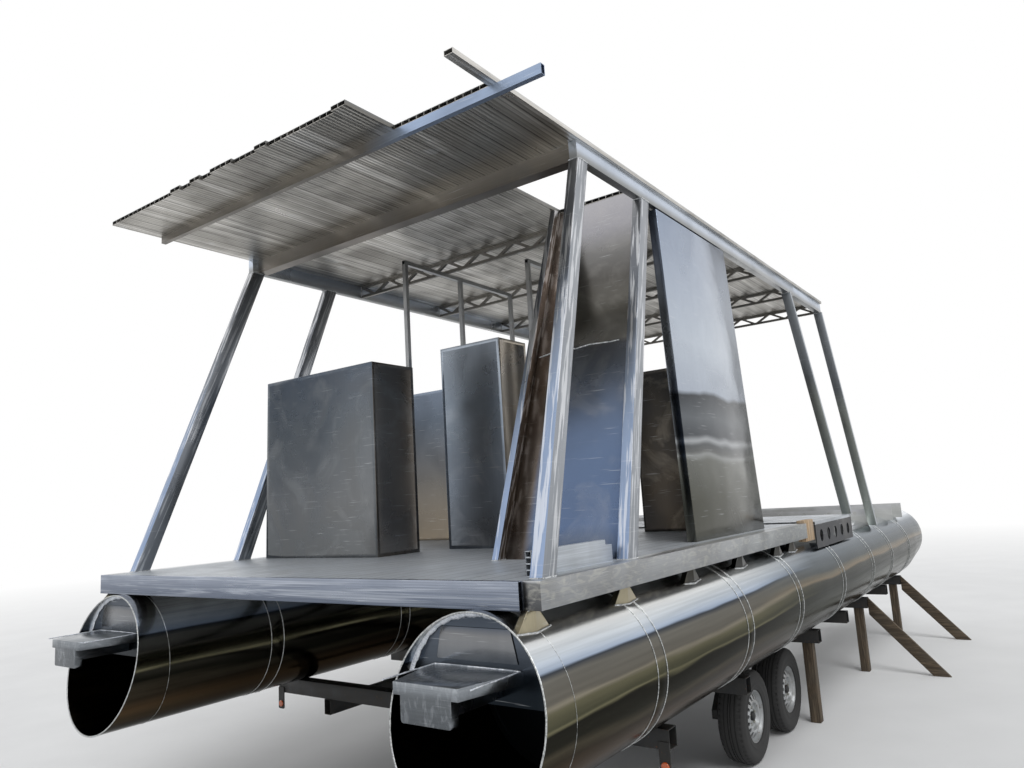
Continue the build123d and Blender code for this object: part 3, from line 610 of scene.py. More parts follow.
@dataclass(frozen=True)
class StudioFloor(Finish):
    """Plain matt studio floor that fades to the white background far away."""

    colour: str = "#d9dadb"

    def fill(self, tree: bpy.types.NodeTree, shader: bpy.types.Node) -> None:
        """Adds a faint mottle and the fade.

        Args:
            tree: The material's node tree.
            shader: The Principled shader that the nodes feed.
        """
        place = add(tree, "TexCoord").outputs["Object"]
        mottle = add(tree, "TexNoise", {"Vector": place, "Scale": 1.5, "Detail": 4.0})
        tone = add(tree, "ValToRGB", {"Fac": mottle}, stops=((0.3, self.colour), (0.7, "#dedfe0")))
        wire(tree, shader, {"Base Color": tone, "Roughness": 0.9})
        distance = add(tree, "VectorMath", {0: place}, operation="LENGTH")
        fade = add(tree, "MapRange", {
            "Value": distance.outputs["Value"], "From Min": 9.0, "From Max": 26.0,
        })
        white = add(tree, "Emission", {"Color": WHITE, "Strength": 1.0})
        output = next(n for n in tree.nodes if n.type == "OUTPUT_MATERIAL")
        wire(tree, output, {"Surface": add(tree, "MixShader", {0: fade, 1: shader, 2: white})})


# Extruded decking: even pale grey, ridged along the boat, with a dark joint every 100 mm and painted shade
# in the grooves between its ridges. Its ridges are 12 mm apart and are drawn 25 mm apart, so that they show.
DECK_PLANK = MillAluminium(
    "ridged_deck_extrusion", tones=((0.0, "#c2c8cf"), (1.0, "#cacfd6")), run=Run.LENGTHWISE, ridge_axis="Y",
    ridge_pitch=25 * MM, joint_pitch=0.100, joint_phase=0.5, groove_shade=0.55, smear="#8f9193",
    smear_amount=0.5, buckle=0.1, roughness=0.42, metallic=0.45, line_contrast=0.14, line_bump=0.0,
)
# The same extrusion overhead: warm grey ribs underneath, where painted shade falls, paler on top, with long
# pale painted highlights and brownish smears between them.
ROOF_PLANK = MillAluminium(
    "ridged_roof_extrusion", tones=((0.0, "#b9b5ad"), (0.5, "#b9b7b2"), (1.0, "#d0d3d6")), low_z=3.755,
    high_z=3.79, sway=0.0, run=Run.LENGTHWISE, ridge_axis="Y", ridge_pitch=25 * MM, joint_pitch=0.100,
    joint_phase=0.85, groove_shade=0.72, smear="#77736c", smear_amount=0.55, buckle=0.5,
    line_contrast=0.16, line_bump=0.0, glint="#f0ede8", glint_amount=0.75, glint_scale=(0.45, 9.0, 2.2),
)
# The same extrusion on edge across the stern: blue-grey with fine level ribs, painted lighter at the top and
# darker at the bottom as light and shade, and soft painted highlights along its length.
FASCIA_PLANK = MillAluminium(
    "ridged_fascia_extrusion", tones=((0.0, "#656d7c"), (0.4, "#7a8291"), (1.0, "#a0a7b5")), low_z=1.46,
    high_z=1.57, sway=0.02, run=Run.CROSSWISE, ridge_axis="Z", ridge_pitch=11 * MM, ridge_depth=0.2 * MM,
    groove_shade=0.92, buckle=0.2, smear="#767e8d", smear_amount=0.4, roughness=0.28, line_contrast=0.08,
    line_bump=0.0, glint="#d5dbe5", glint_amount=0.45, glint_scale=(1.0, 0.8, 30.0),
)
# Plain cold-rolled sheet, which the walls and cabinets share: glossy, with faint mill lines.
SHEET = MillAluminium("cold_rolled_sheet", roughness=0.25, line_contrast=0.04, line_bump=0.03)
# The side wall's tones are a painted reflection of an uneven horizon: dark below, two bent bright lines,
# then a pale sky tone.
SIDE_WALL_SHEET = replace(
    SHEET, name="buckled_side_sheet", tones=(
        (0.000, "#66655e"), (0.120, "#5a5a52"), (0.225, "#6b6c67"), (0.241, "#909291"), (0.252, "#646564"),
        (0.272, "#5a5c5e"), (0.287, "#a3a6a9"), (0.303, "#4f5256"), (0.360, "#64686c"), (0.430, "#43464a"),
        (0.445, "#a9b1bd"), (0.600, "#b9c1cc"), (1.000, "#8d99ad"),
    ), sway=0.11, wave_scale=2.6, roughness=0.20, smear_amount=0.10, line_contrast=0.03,
)
# The tall wall is blue below its middle weld and warm grey above, with a brown strip of painted shadow at
# its inner edge, next to the post, and faint painted highlights.
HATCH_WALL_SHEET = replace(
    SHEET, name="tall_wall_sheet", tones=(
        (0.00, "#3f4855"), (0.07, "#5f7190"), (0.28, "#62728d"), (0.44, "#5f6774"), (0.535, "#5c5f65"),
        (0.545, "#7b7a77"), (0.62, "#67655f"), (0.72, "#585653"), (0.82, "#7b7a79"), (0.90, "#9c9ba0"),
        (1.00, "#abaaae"),
    ), high_z=3.76, sway=0.12, fade_axis="Y", fade_from=-0.985, fade_length=0.05, fade_tone="#635a53",
    roughness=0.22, smear_amount=0.12, glint="#c9c6c1", glint_amount=0.12,
)
# The cabinets' tones are painted reflections and shade, different on each: grey, blue-grey with a tan side,
# brown to blue, and dark brown. Their starboard faces take a painted tone of their own, and three carry
# broad painted highlights.
CABINET_SHEETS = {
    "cabinet_port_aft": replace(
        SHEET, name="port_aft_cabinet_sheet", tones=(
            (0.0, "#5f6264"), (0.3, "#6b6e71"), (0.7, "#61676d"), (1.0, "#58616d"),
        ), side_tone="#65605b", high_z=2.83, roughness=0.26, buckle=0.25, smear_amount=0.2, smear="#7c7973",
        glint="#8d9092", glint_amount=0.3,
    ),
    "cabinet_centre": replace(
        SHEET, name="centre_cabinet_sheet", tones=(
            (0.0, "#626870"), (0.35, "#7a838f"), (0.7, "#8f9aa7"), (1.0, "#a9b2bd"),
        ), side_tone="#a69d90", high_z=2.98, buckle=0.25, smear_amount=0.15, glint="#b3b8be",
        glint_amount=0.2,
    ),
    "cabinet_port_bow": replace(
        SHEET, name="port_bow_cabinet_sheet", tones=(
            (0.0, "#7f7566"), (0.4, "#6d6b68"), (0.8, "#69727e"), (1.0, "#8590a0"),
        ), side_tone="#5f5952", high_z=2.90, roughness=0.28, buckle=0.25, smear_amount=0.2,
    ),
    "cabinet_starboard": replace(
        SHEET, name="starboard_cabinet_sheet", tones=((0.0, "#4c463f"), (0.5, "#46413b"), (1.0, "#3f3d3a")),
        side_tone="#3a3b3d", high_z=2.84, roughness=0.3, smear_amount=0.25, glint="#8f887c",
        glint_amount=0.4,
    ),
}
# Drawn square tube of the stern posts: a painted sky reflection makes it blue below and grey above, its
# starboard faces are painted lighter, and torn strips of film run along each post.
POST_TUBE = MillAluminium(
    "square_post_tube", tones=(
        (0.0, "#93a6c6"), (0.4, "#909fb7"), (0.58, "#7f8691"), (0.72, "#6f737a"), (0.90, "#707277"),
        (1.0, "#8a8b8d"),
    ), side_tone="#979ba1", roughness=0.32, smear="#8a8e94", smear_amount=0.2, buckle=0.15,
    line_contrast=0.05, line_bump=0.04, flake_amount=0.5, rake=0.412, lean=0.087,
)
# The same tube with its outer side in brown shade.
HATCH_POST_TUBE = replace(POST_TUBE, name="hatch_post_tube", side_tone="#635a52")
# Narrower drawn tube of the bow posts: greenish grey, hazy, without film, its starboard faces painted
# lighter as light.
BOW_POST_TUBE = MillAluminium(
    "bow_post_tube", tones=((0.0, "#9ba09b"), (0.5, "#949893"), (0.6, "#73777b"), (1.0, "#8d9297")),
    side_tone="#a9afb5", roughness=0.40, smear_amount=0.2, buckle=0.1, line_bump=0.04,
)
# Long side beam: pale stain blotches; its starboard side painted pale and its face astern darker as light
# and shade, a painted highlight along its upper edge, and greyer towards the bow.
SIDE_BEAM_TUBE = MillAluminium(
    "side_beam_extrusion", tones=((0.0, "#5d5e60"), (0.5, "#6c6d6f"), (0.88, "#7b7d7f"), (1.0, "#e2e4e6")),
    side_tone="#9c9ea0", low_z=1.46, high_z=1.572, sway=0.01, run=Run.LENGTHWISE, roughness=0.36,
    smear="#6f6e69", smear_amount=0.45, buckle=0.1, line_contrast=0.08, line_bump=0.03, glint="#c9c7bd",
    glint_amount=0.35, glint_scale=(9.0, 9.0, 26.0), fade_from=STERN_X + 1.6, fade_length=1.6,
    fade_tone="#767b7e",
)
# Roof beam tube: clean and glossy, grey below to a painted sky-blue reflection at its upper edge.
ROOF_BEAM_TUBE = MillAluminium(
    "roof_beam_tube", tones=((0.0, "#8f908f"), (0.25, "#a5a8ab"), (0.5, "#c3cbd7"), (1.0, "#cdd8e8")),
    low_z=3.655, high_z=3.765, sway=0.01, run=Run.LENGTHWISE, roughness=0.30, smear_amount=0.15,
    buckle=0.15, line_contrast=0.04, line_bump=0.03,
)
# Crosswise roof tube in the shade of the planks: warm grey and a little smeared.
CROSS_TUBE = MillAluminium(
    "cross_tube", tones=((0.0, "#77716a"), (1.0, "#98948d")), low_z=3.655, high_z=3.765, run=Run.CROSSWISE,
    roughness=0.36, smear_amount=0.3, buckle=0.1, line_bump=0.03,
)
# The same tube where it runs out past the planks and turns sky blue at its starboard end, a painted sky
# reflection.
OVERHANG_TUBE = replace(
    CROSS_TUBE, name="overhang_tube", fade_axis="Y", fade_from=-0.55, fade_length=-0.30,
    fade_tone="#9fb0ca",
)
# Flat bar of the lattice trusses: dull, warm grey.
TRUSS_BAR = MillAluminium(
    "flat_truss_bar", tones=((0.0, "#77746f"), (1.0, "#8f8c86")), low_z=3.655, high_z=3.765,
    run=Run.CROSSWISE, roughness=0.40, smear_amount=0.3, buckle=0.0, line_bump=0.03,
)
# Thin square tube of the inner frames: even mid grey.
FRAME_TUBE = MillAluminium(
    "thin_frame_tube", tones=((0.0, "#96999d"), (1.0, "#a3a4a4")), roughness=0.36, buckle=0.0,
)
# Crossbeams under the deck: dark and smeared, out of the light.
UNDER_TUBE = MillAluminium(
    "underdeck_tube", tones=((0.0, "#4c4c4a"), (1.0, "#5e5e5a")), low_z=1.3, high_z=1.6, run=Run.CROSSWISE,
    roughness=0.42, smear_amount=0.4, buckle=0.0,
)
# Cut plate of the bow ribs: chalky pale grey.
BOW_RIB_PLATE = MillAluminium(
    "bow_rib_plate", tones=((0.0, "#c3c4c2"), (0.6, "#cbccca"), (1.0, "#d6d7da")), low_z=1.40, high_z=1.57,
    run=Run.CROSSWISE, roughness=0.5, metallic=0.4, smear="#8f908d", smear_amount=0.5, buckle=0.1,
    line_contrast=0.08, line_bump=0.0,
)
# Plates in the open recess under the bow deck, painted nearly black as the recess's shade.
BOW_SIDE_PLATE = replace(UNDER_TUBE, name="bow_side_plate", tones=((0.0, "#26262a"), (1.0, "#2f2e2d")))
# Folded gusset plate: an olive face and a tan starboard side at the stern, painted as light and shade, and
# painted dark shade farther forward, under the beam.
FOLDED_PLATE = MillAluminium(
    "folded_plate", tones=((0.0, "#5f5a4d"), (0.6, "#706a58"), (1.0, "#605b4e")), side_tone="#a39b84",
    low_z=1.36, high_z=1.47, roughness=0.36, smear="#5d594e", smear_amount=0.5, buckle=0.1, wave_scale=6.0,
    fade_from=STERN_X + 1.1, fade_tone="#2b2b29",
)
# Stern bulkhead: glossy, painted nearly black as shade under the shelf, and blue-grey over its upper half.
WELL_PLATE = MillAluminium(
    "stern_well_plate", tones=(
        (0.0, "#1d2227"), (0.38, "#242a30"), (0.45, "#50565e"), (0.7, "#5a616b"), (0.9, "#49505a"),
        (1.0, "#3e454e"),
    ), low_z=1.10, high_z=1.46, sway=0.04, roughness=0.24, smear_amount=0.2, buckle=0.3, run=Run.CROSSWISE,
    line_contrast=0.05, line_bump=0.02,
)
# The bulkhead's folded middle field, paler because it leans to the light.
WELL_PANEL = MillAluminium(
    "stern_well_panel", tones=((0.0, "#7b7f85"), (0.4, "#85878a"), (0.75, "#7a7b7d"), (1.0, "#525964")),
    low_z=1.27, high_z=1.40, sway=0.05, roughness=0.22, smear_amount=0.15, buckle=0.3, line_contrast=0.05,
    line_bump=0.02,
)
# Motor shelf: grey plate, darker on its lower lip and paler on top, with crosswise pale streaks and dark
# smears.
SHELF_PLATE = MillAluminium(
    "motor_shelf_plate", tones=((0.0, "#5c6064"), (0.72, "#73777b"), (0.8, "#8b9095"), (1.0, "#8f9499")),
    low_z=1.04, high_z=1.27, sway=0.0, run=Run.CROSSWISE, roughness=0.26, smear="#595f66", smear_amount=0.5,
    buckle=0.25, glint="#d5dae0", glint_amount=0.25, glint_scale=(4.0, 30.0, 12.0), line_contrast=0.10,
)
# Inside of the open stern end: nearly black, out of the light.
WELL_INSIDE = MillAluminium(
    "stern_well_inside", tones=((0.0, "#15191d"), (0.5, "#191d21"), (1.0, "#30353a")), low_z=0.72,
    high_z=1.40, roughness=0.45, smear="#101316", smear_amount=0.5, buckle=0.1, scratch_amount=0.0,
)
# Bright bead along the bulkhead's edge, dull bead of the hulls' ring seams, and plain structural weld.
SEALANT = WeldMetal("bulkhead_sealant", bright="#eff2f7", dull="#c3cad4")
HULL_WELD = WeldMetal("hull_seam_weld", bright="#c9cbcb", dull="#8d9090")
STRUCTURE_WELD = WeldMetal("structure_weld")
# Brushed black chassis paint with grey-brown dust and rusty chips.
CHASSIS_PAINT = PaintedSteel("black_chassis_paint")
# Sprayed silver wheel paint: half metallic, with brake dust on it.
WHEEL_PAINT = PaintedSteel(
    "silver_wheel_paint", paint="#b3b6b8", dust="#6f6a61", chip="#7d6a58", metallic=0.55, roughness=0.36,
    dust_amount=0.5,
)
# Cast iron of the brake drums: dull, and painted nearly black as shade, so that the rim's slots look open
# and dark.
DRUM_IRON = PaintedSteel("brake_drum_iron", paint="#0b0b0c", dust="#1d1a17", chip="#2b1d14", roughness=0.7)
# Zinc plating of nuts and valves: yellowish grey metal.
ZINC_FASTENER = PaintedSteel(
    "zinc_fastener_plating", paint="#9c9c94", dust="#6a655b", chip="#6b4a33", metallic=0.9, roughness=0.38,
)
# Moulded tyre rubber: flat black, brownish where mud has dried.
RUBBER = TyreRubber("tyre_rubber")
# Sawn softwood: weathered brown props and shores, and a fresh pale block at each beam's end.
PROP_TIMBER = SawnTimber("upright_prop_timber")
SHORE_TIMBER = SawnTimber("raking_shore_timber", run=Run.CROSSWISE)
BLOCK_TIMBER = SawnTimber(
    "end_block_timber", light="#c4ab8a", dark="#7a6248", middle="#a48c6f", pale="#d2bd9f",
    weathered="#a3978a",
)
# Moulded orange acrylic with a bright prism grid.
ORANGE_REFLECTOR = ReflectorPlastic("orange_reflector")


def deselect() -> None:
    """Leaves nothing selected, so that an operator acts only on what comes next."""
    bpy.ops.object.select_all(action="DESELECT")


def choose(piece: bpy.types.Object) -> None:
    """Selects one object and makes it active.

    Args:
        piece: The object to work on.
    """
    deselect()
    piece.select_set(True)
    bpy.context.view_layer.objects.active = piece


def pick(piece: bpy.types.Object, kind: Element, test: Callable[[Any], bool]) -> None:
    """Selects only the vertices, edges or faces that pass a test, and sets edit mode to them.

    Args:
        piece: The object whose mesh is searched.
        kind: What is picked.
        test: Says of one vertex, edge or face whether it is picked.
    """
    for elements in (piece.data.vertices, piece.data.edges, piece.data.polygons):
        for element in elements:
            element.select = False
    for element in getattr(piece.data, kind.name.lower()):
        element.select = test(element)
    bpy.context.scene.tool_settings.mesh_select_mode = kind.value


@contextmanager
def editing(piece: bpy.types.Object, whole: bool = True) -> Iterator[None]:
    """Holds one object in edit mode while a with block runs.

    Args:
        piece: The object to edit.
        whole: Selects the whole mesh first; otherwise what was picked stays selected.

    Yields:
        Nothing.
    """
    choose(piece)
    bpy.ops.object.mode_set(mode="EDIT")
    if whole:
        bpy.ops.mesh.select_all(action="SELECT")
    yield
    bpy.ops.object.mode_set(mode="OBJECT")
    bpy.context.scene.tool_settings.mesh_select_mode = Element.VERTICES.value


def bake_place(piece: bpy.types.Object) -> None:
    """Puts a piece's place, turn and scale into its mesh.

    Args:
        piece: The object, which ends at the origin.
    """
    choose(piece)
    bpy.ops.object.transform_apply(location=True, rotation=True, scale=True)


def settle(piece: bpy.types.Object, angle: float = 40.0) -> bpy.types.Object:
    """Puts a piece's place into its mesh and shades it smooth up to an angle.

    Args:
        piece: The object to finish.
        angle: Edges sharper than this many degrees stay crisp.

    Returns:
        The same object.
    """
    bake_place(piece)
    bpy.ops.object.shade_smooth_by_angle(angle=math.radians(angle))
    return piece


def join(parts: Sequence[bpy.types.Object], name: str) -> bpy.types.Object:
    """Joins objects into one that has its place in its mesh.

    Args:
        parts: The objects; the first one is kept.
        name: The joined piece's name.

    Returns:
        The joined object.
    """
    deselect()
    for part in parts:
        part.select_set(True)
    bpy.context.view_layer.objects.active = parts[0]
    bpy.ops.object.join()
    joined = parts[0]
    joined.name = joined.data.name = name
    return joined


def use_modifier(piece: bpy.types.Object, kind: str, **settings: Any) -> None:
    """Adds a modifier and applies it.

    Args:
        piece: The object that it works on.
        kind: The modifier's type name.
        **settings: The modifier's values.
    """
    choose(piece)
    modifier = piece.modifiers.new(kind.lower(), kind)
    for key, value in settings.items():
        setattr(modifier, key, value)
    bpy.ops.object.modifier_apply(modifier=modifier.name)


def soften_edges(piece: bpy.types.Object, width: float) -> None:
    """Bevels the edges that are sharper than 35 degrees.

    Args:
        piece: The object that is bevelled.
        width: The bevel's width in metres.
    """
    use_modifier(
        piece, "BEVEL", width=width, segments=2, limit_method="ANGLE", angle_limit=math.radians(35),
        use_clamp_overlap=True, harden_normals=False,
    )


def fit_out(
    piece: bpy.types.Object, finish: Finish, body: str = ROOT_BODY, nodes: Sequence[str] = (),
) -> bpy.types.Object:
    """Gives a shaped piece its finish and its body, and hides the CAD nodes that it stands for.

    Args:
        piece: The shaped piece.
        finish: Its finish.
        body: The body that it rides on.
        nodes: The nodes that it replaces.

    Returns:
        The same object.
    """
    finish.dress(piece)
    for node in nodes:
        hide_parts(node)
    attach(piece, body)
    return piece


def turned(
    name: str,
    profile: Sequence[tuple[float, float]],
    centre: Point,
    axis: Point,
    segments: int = 96,
    closed: bool = False,
    capped: bool = False,
) -> bpy.types.Object:
    """Turns a profile round an axis, ring after ring, by extruding and scaling the last ring.

    Args:
        name: The piece's name.
        profile: Distance along the axis and radius of each ring.
        centre: Where the profile's zero lies.
        axis: The axis's direction.
        segments: Number of points in a ring.
        closed: Joins the last ring to the first.
        capped: Closes the two ends with faces.

    Returns:
        The finished object.
    """
    deselect()
    start, radius = profile[0]
    bpy.ops.mesh.primitive_circle_add(vertices=segments, radius=radius, location=(0, 0, start))
    piece = bpy.context.object
    piece.name = piece.data.name = name
    bpy.ops.object.transform_apply(location=True)
    with editing(piece):
        if capped:
            bpy.ops.mesh.edge_face_add()
        for (before, before_radius), (after, after_radius) in pairwise(profile):
            bpy.ops.mesh.extrude_region_move(TRANSFORM_OT_translate={"value": (0, 0, after - before)})
            factor = after_radius / before_radius
            bpy.ops.transform.resize(value=(factor, factor, 1), center_override=(0, 0, after))
        if closed:
            bpy.ops.mesh.select_all(action="DESELECT")
            bpy.ops.mesh.select_non_manifold()
            bpy.ops.mesh.bridge_edge_loops()
        bpy.ops.mesh.select_all(action="SELECT")
        bpy.ops.mesh.normals_make_consistent(inside=False)
    piece.rotation_euler = Vector(axis).to_track_quat("Z", "Y").to_euler()
    piece.location = centre
    return settle(piece)


def own_copy(source: bpy.types.Object, name: str) -> bpy.types.Object:
    """Copies an object with a mesh of its own.

    Args:
        source: The object to copy.
        name: The copy's name.

    Returns:
        The copy, in the scene.
    """
    copy = source.copy()
    copy.data = source.data.copy()
    copy.name = copy.data.name = name
    bpy.context.scene.collection.objects.link(copy)
    return copy


def repeated(first: bpy.types.Object, shifts: Sequence[Sequence[float]]) -> list[bpy.types.Object]:
    """Repeats a piece that was modelled once.

    Args:
        first: The piece, with its place in its mesh.
        shifts: How far each copy lies from it.

    Returns:
        The piece and its copies.
    """
    row = [first]
    for shift in shifts:
        row.append(own_copy(first, first.name))
        row[-1].location = shift
        bake_place(row[-1])
    return row


def softened(node: str, finish: Finish, width: float) -> bpy.types.Object:
    """Stands a copy of a CAD node in for it, its edges as soft as real metal and timber have them.

    Args:
        node: The CAD node's name.
        finish: The copy's finish.
        width: Width of the softened edge in metres.

    Returns:
        The softened copy, riding on the main body.
    """
    piece = own_copy(frame["nodes"][node], f"{node}_soft")
    piece.parent = None
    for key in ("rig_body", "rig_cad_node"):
        if key in piece:
            del piece[key]
    with editing(piece):
        bpy.ops.mesh.remove_doubles(threshold=0.02 * MM)
        bpy.ops.mesh.dissolve_limited(angle_limit=math.radians(0.5))
    soften_edges(piece, width)
    settle(piece, 30.0)
    return fit_out(piece, finish, nodes=(node,))


def weld_run(start: Point, end: Point, radius: float) -> bpy.types.Object:
    """Makes one straight weld bead, cut across every 9 mm or so, so that ripples can be pressed into it.

    Args:
        start: One end.
        end: The other end.
        radius: The bead's radius.

    Returns:
        The bead, not yet rippled.
    """
    path = Vector(end) - Vector(start)
    deselect()
    bpy.ops.mesh.primitive_cylinder_add(
        vertices=6, radius=radius, depth=path.length, location=(Vector(start) + Vector(end)) / 2,
        rotation=path.to_track_quat("Z", "Y").to_euler(),
    )
    bead = bpy.context.object
    bake_place(bead)
    points = bead.data.vertices

    def runs_along(edge: bpy.types.MeshEdge) -> bool:
        """Says whether an edge runs the bead's whole length.

        Args:
            edge: The edge.

        Returns:
            True where it does.
        """
        low, high = (points[i].co for i in edge.vertices)
        return (high - low).length > path.length * 0.9

    pick(bead, Element.EDGES, runs_along)
    with editing(bead, whole=False):
        bpy.ops.mesh.subdivide(number_cuts=max(2, min(60, int(path.length / (9 * MM)))))
    return bead


def weld_seam(
    name: str, beads: Sequence[bpy.types.Object], ripple: float, finish: WeldMetal,
) -> bpy.types.Object:
    """Joins beads and presses ripples into them.

    Args:
        name: The piece's name.
        beads: The plain beads.
        ripple: Depth of the ripples.
        finish: The weld metal.

    Returns:
        The finished seam, riding on the main body.
    """
    seam = join(beads, name)
    clouds = bpy.data.textures.get("weld_ripple") or bpy.data.textures.new("weld_ripple", "CLOUDS")
    clouds.noise_scale = 14 * MM
    use_modifier(seam, "DISPLACE", texture=clouds, strength=ripple, mid_level=0.5, texture_coords="LOCAL")
    return fit_out(settle(seam, 60.0), finish)


@dataclass
class HullShell:
    """One tubular hull: rolled plate shell with its nose, the open stern's fittings and the ring welds."""

    side: Side
    radius: float = 0.375
    wall: float = 5 * MM
    stern_aft_x: float = STERN_X - 0.150
    stern_rake: float = 0.075
    well_x: float = STERN_X + 0.450
    nose_x: float = STERN_X + 7.900
    nose_length: float = 0.920
    nose_radius: float = 0.345
    nose_rise: float = 0.060
    nose_round: float = 0.120
    seams: tuple[float, ...] = (0.785, 1.965, 3.00, 4.25, 5.42, 6.40, 7.49)
    strip_width: float = 0.095
    strip_thick: float = 1.5 * MM
    bead_radius: float = 4.0 * MM
    bulkhead_x: float = STERN_X - 0.053
    sealant_foot: float = 0.130
    panel_rise: float = 0.250
    panel_size: Point = (3 * MM, 0.400, 0.125)
    panel_taper: float = 0.86
    shelf_aft_x: float = STERN_X - 0.346
    shelf_rise: float = 165 * MM
    shelf_half: float = 209 * MM
    lower_ring_x: float = STERN_X + 0.05

    @property
    def y(self) -> float:
        """The tube's middle."""
        return self.side.value * HULL_Y

    @property
    def label(self) -> str:
        """The side's name in lower case."""
        return self.side.name.lower()

    @property
    def seam_shifts(self) -> list[Point]:
        """How far each further ring seam lies from the first."""
        return [(station - self.seams[0], 0.0, 0.0) for station in self.seams[1:]]

    def build(self) -> None:
        """Builds and dresses every piece of the hull."""
        plate = RolledPlate(f"rolled_hull_plate_{self.label}", side=self.side)
        fit_out(self.shell(), plate, nodes=(f"hull_{self.label}", "hull_skirts"))
        fit_out(self.well_liner(), WELL_INSIDE)
        fit_out(self.seam_strips(), plate)
        fit_out(self.sealant(), SEALANT)
        self.shelf_edges()
        fit_out(self.bulkhead_panel(), WELL_PANEL)
        self.ring_welds()
        LOG.info("hull shell, well liner, bulkhead panel, strips and ring welds, %s", self.label)

    def shell(self) -> bpy.types.Object:
        """Extrudes the tube from the slanted stern to the rounded nose.

        Returns:
            The plate shell with its wall.
        """
        aft_x = self.stern_aft_x - 2 * self.stern_rake
        piece = turned(
            f"hull_shell_{self.label}", tuple((x, self.radius) for x in (aft_x, STERN_X, self.nose_x)),
            (0, self.y, HULL_Z), (1, 0, 0), segments=160,
        )
        middle = (self.stern_aft_x, self.y, HULL_Z)
        slant = Vector((-2 * self.radius, 0, 2 * self.stern_rake)).normalized()
        with editing(piece):
            bpy.ops.mesh.bisect(plane_co=middle, plane_no=slant, clear_outer=True)
        pick(piece, Element.VERTICES, lambda vertex: vertex.co.x > self.nose_x - 1 * MM)
        with editing(piece, whole=False):
            before = (self.nose_x, self.radius, 0.0)
            for x, radius, rise in self.nose_rings():
                step = (x - before[0], 0, rise - before[2])
                bpy.ops.mesh.extrude_region_move(TRANSFORM_OT_translate={"value": step})
                factor = radius / before[1]
                middle = (x, self.y, HULL_Z + rise)
                bpy.ops.transform.resize(value=(1, factor, factor), center_override=middle)
                before = (x, radius, rise)
            bpy.ops.mesh.edge_face_add()
            bpy.ops.mesh.inset(thickness=0.02)
            bpy.ops.mesh.select_all(action="SELECT")
            bpy.ops.mesh.normals_make_consistent(inside=False)
        use_modifier(piece, "SOLIDIFY", thickness=self.wall, offset=-1.0)
        return settle(piece, 35.0)

    def nose_rings(self) -> list[tuple[float, float, float]]:
        """Works out the nose's rings, the last ones round its edge.

        Returns:
            The x, the radius and the rise of each ring.
        """
        narrowing = self.nose_radius - self.radius
        rings = []
        for share in (0.25, 0.5, 0.75):
            run = share * (self.nose_length - self.nose_round) / self.nose_length
            x = self.nose_x + run * self.nose_length
            rings.append((x, self.radius + narrowing * run, self.nose_rise * run))
        for step in range(9):
            turn = math.radians(step * 11.0)
            x = self.nose_x + self.nose_length - self.nose_round * (1 - math.sin(turn))
            run = (x - self.nose_x) / self.nose_length
            full = self.radius + narrowing * run
            rings.append((x, full - self.nose_round * (1 - math.cos(turn)), self.nose_rise * run))
        return rings

    def well_liner(self) -> bpy.types.Object:
        """Makes the inner bulkhead that ends the open stern well.

        Returns:
            The liner plate.
        """
        inner = self.radius - self.wall - 0.5 * MM
        profile = (
            (-4 * MM, inner), (0.0, inner), (6 * MM, inner - 6 * MM), (6 * MM, inner - 30 * MM),
            (2 * MM, inner - 34 * MM),
        )
        middle = (self.well_x, self.y, HULL_Z)
        return turned(f"stern_well_liner_{self.label}", profile, middle, (-1, 0, 0), capped=True)

    def seam_strips(self) -> bpy.types.Object:
        """Makes the thin strips that cover the ring seams between the plates.

        Returns:
            The joined strips.
        """
        half, high = self.strip_width / 2, self.radius + self.strip_thick
        rise = ((half, -self.strip_thick - 1 * MM), (half, -0.5 * MM), (half - 2 * MM, 0.0))
        profile = [(-offset, high + lift) for offset, lift in rise]
        profile += [(0.0, high + 0.2 * MM)]
        profile += [(offset, high + lift) for offset, lift in reversed(rise)]
        middle = (STERN_X + self.seams[0], self.y, HULL_Z)
        strip = turned("strip", profile, middle, (1, 0, 0), segments=160)
        return join(repeated(strip, self.seam_shifts), f"hull_seam_strips_{self.label}")

    def sealant(self) -> bpy.types.Object:
        """Smears a rough bead of sealant along the upper edge of the stern bulkhead.

        Returns:
            The smear, thick and thin by turns.
        """
        outer = self.radius - self.wall
        profile = (
            (0.0, outer - 16 * MM), (3 * MM, outer - 14 * MM), (6 * MM, outer - 8 * MM),
            (9 * MM, outer - 0.5 * MM), (0.0, outer - 0.5 * MM),
        )
        smear = turned(
            f"bulkhead_sealant_{self.label}", profile, (self.bulkhead_x, self.y, HULL_Z), (-1, 0, 0),
            segments=220, closed=True,
        )
        with editing(smear):
            bpy.ops.mesh.bisect(
                plane_co=(self.bulkhead_x, self.y, HULL_Z + self.sealant_foot), plane_no=(0, 0, 1),
                clear_inner=True, use_fill=True,
            )
        for vertex in smear.data.vertices:
            arm = Vector((0, vertex.co.y - self.y, vertex.co.z - HULL_Z))
            turn = math.atan2(arm.y, arm.z)
            wobble = 3 * math.sin(7 * turn + 0.6) + 3 * math.sin(31 * turn + 1.0)
            wobble += 2 * math.sin(83 * turn + 2.0)
            if arm.length < outer - 5 * MM:
                vertex.co -= arm.normalized() * (wobble * MM * 0.8 + 1 * MM)
        return settle(smear, 50.0)

    def shelf_edges(self) -> bpy.types.Object:
        """Lays the bright welds along the motor shelf's back edge and its two side edges.

        Returns:
            The joined welds.
        """
        back, half = self.bulkhead_x + 1 * MM, self.shelf_half
        path = (
            (self.shelf_aft_x, -half), (back - 6 * MM, -half), (back, -0.7 * half), (back, 0.7 * half),
            (back - 6 * MM, half), (self.shelf_aft_x, half),
        )
        corners = [(x, self.y + y, HULL_Z + self.shelf_rise) for x, y in path]
        beads = [weld_run(a, b, 3.0 * MM) for a, b in pairwise(corners)]
        return weld_seam(f"motor_shelf_welds_{self.label}", beads, 3.0 * MM, SEALANT)

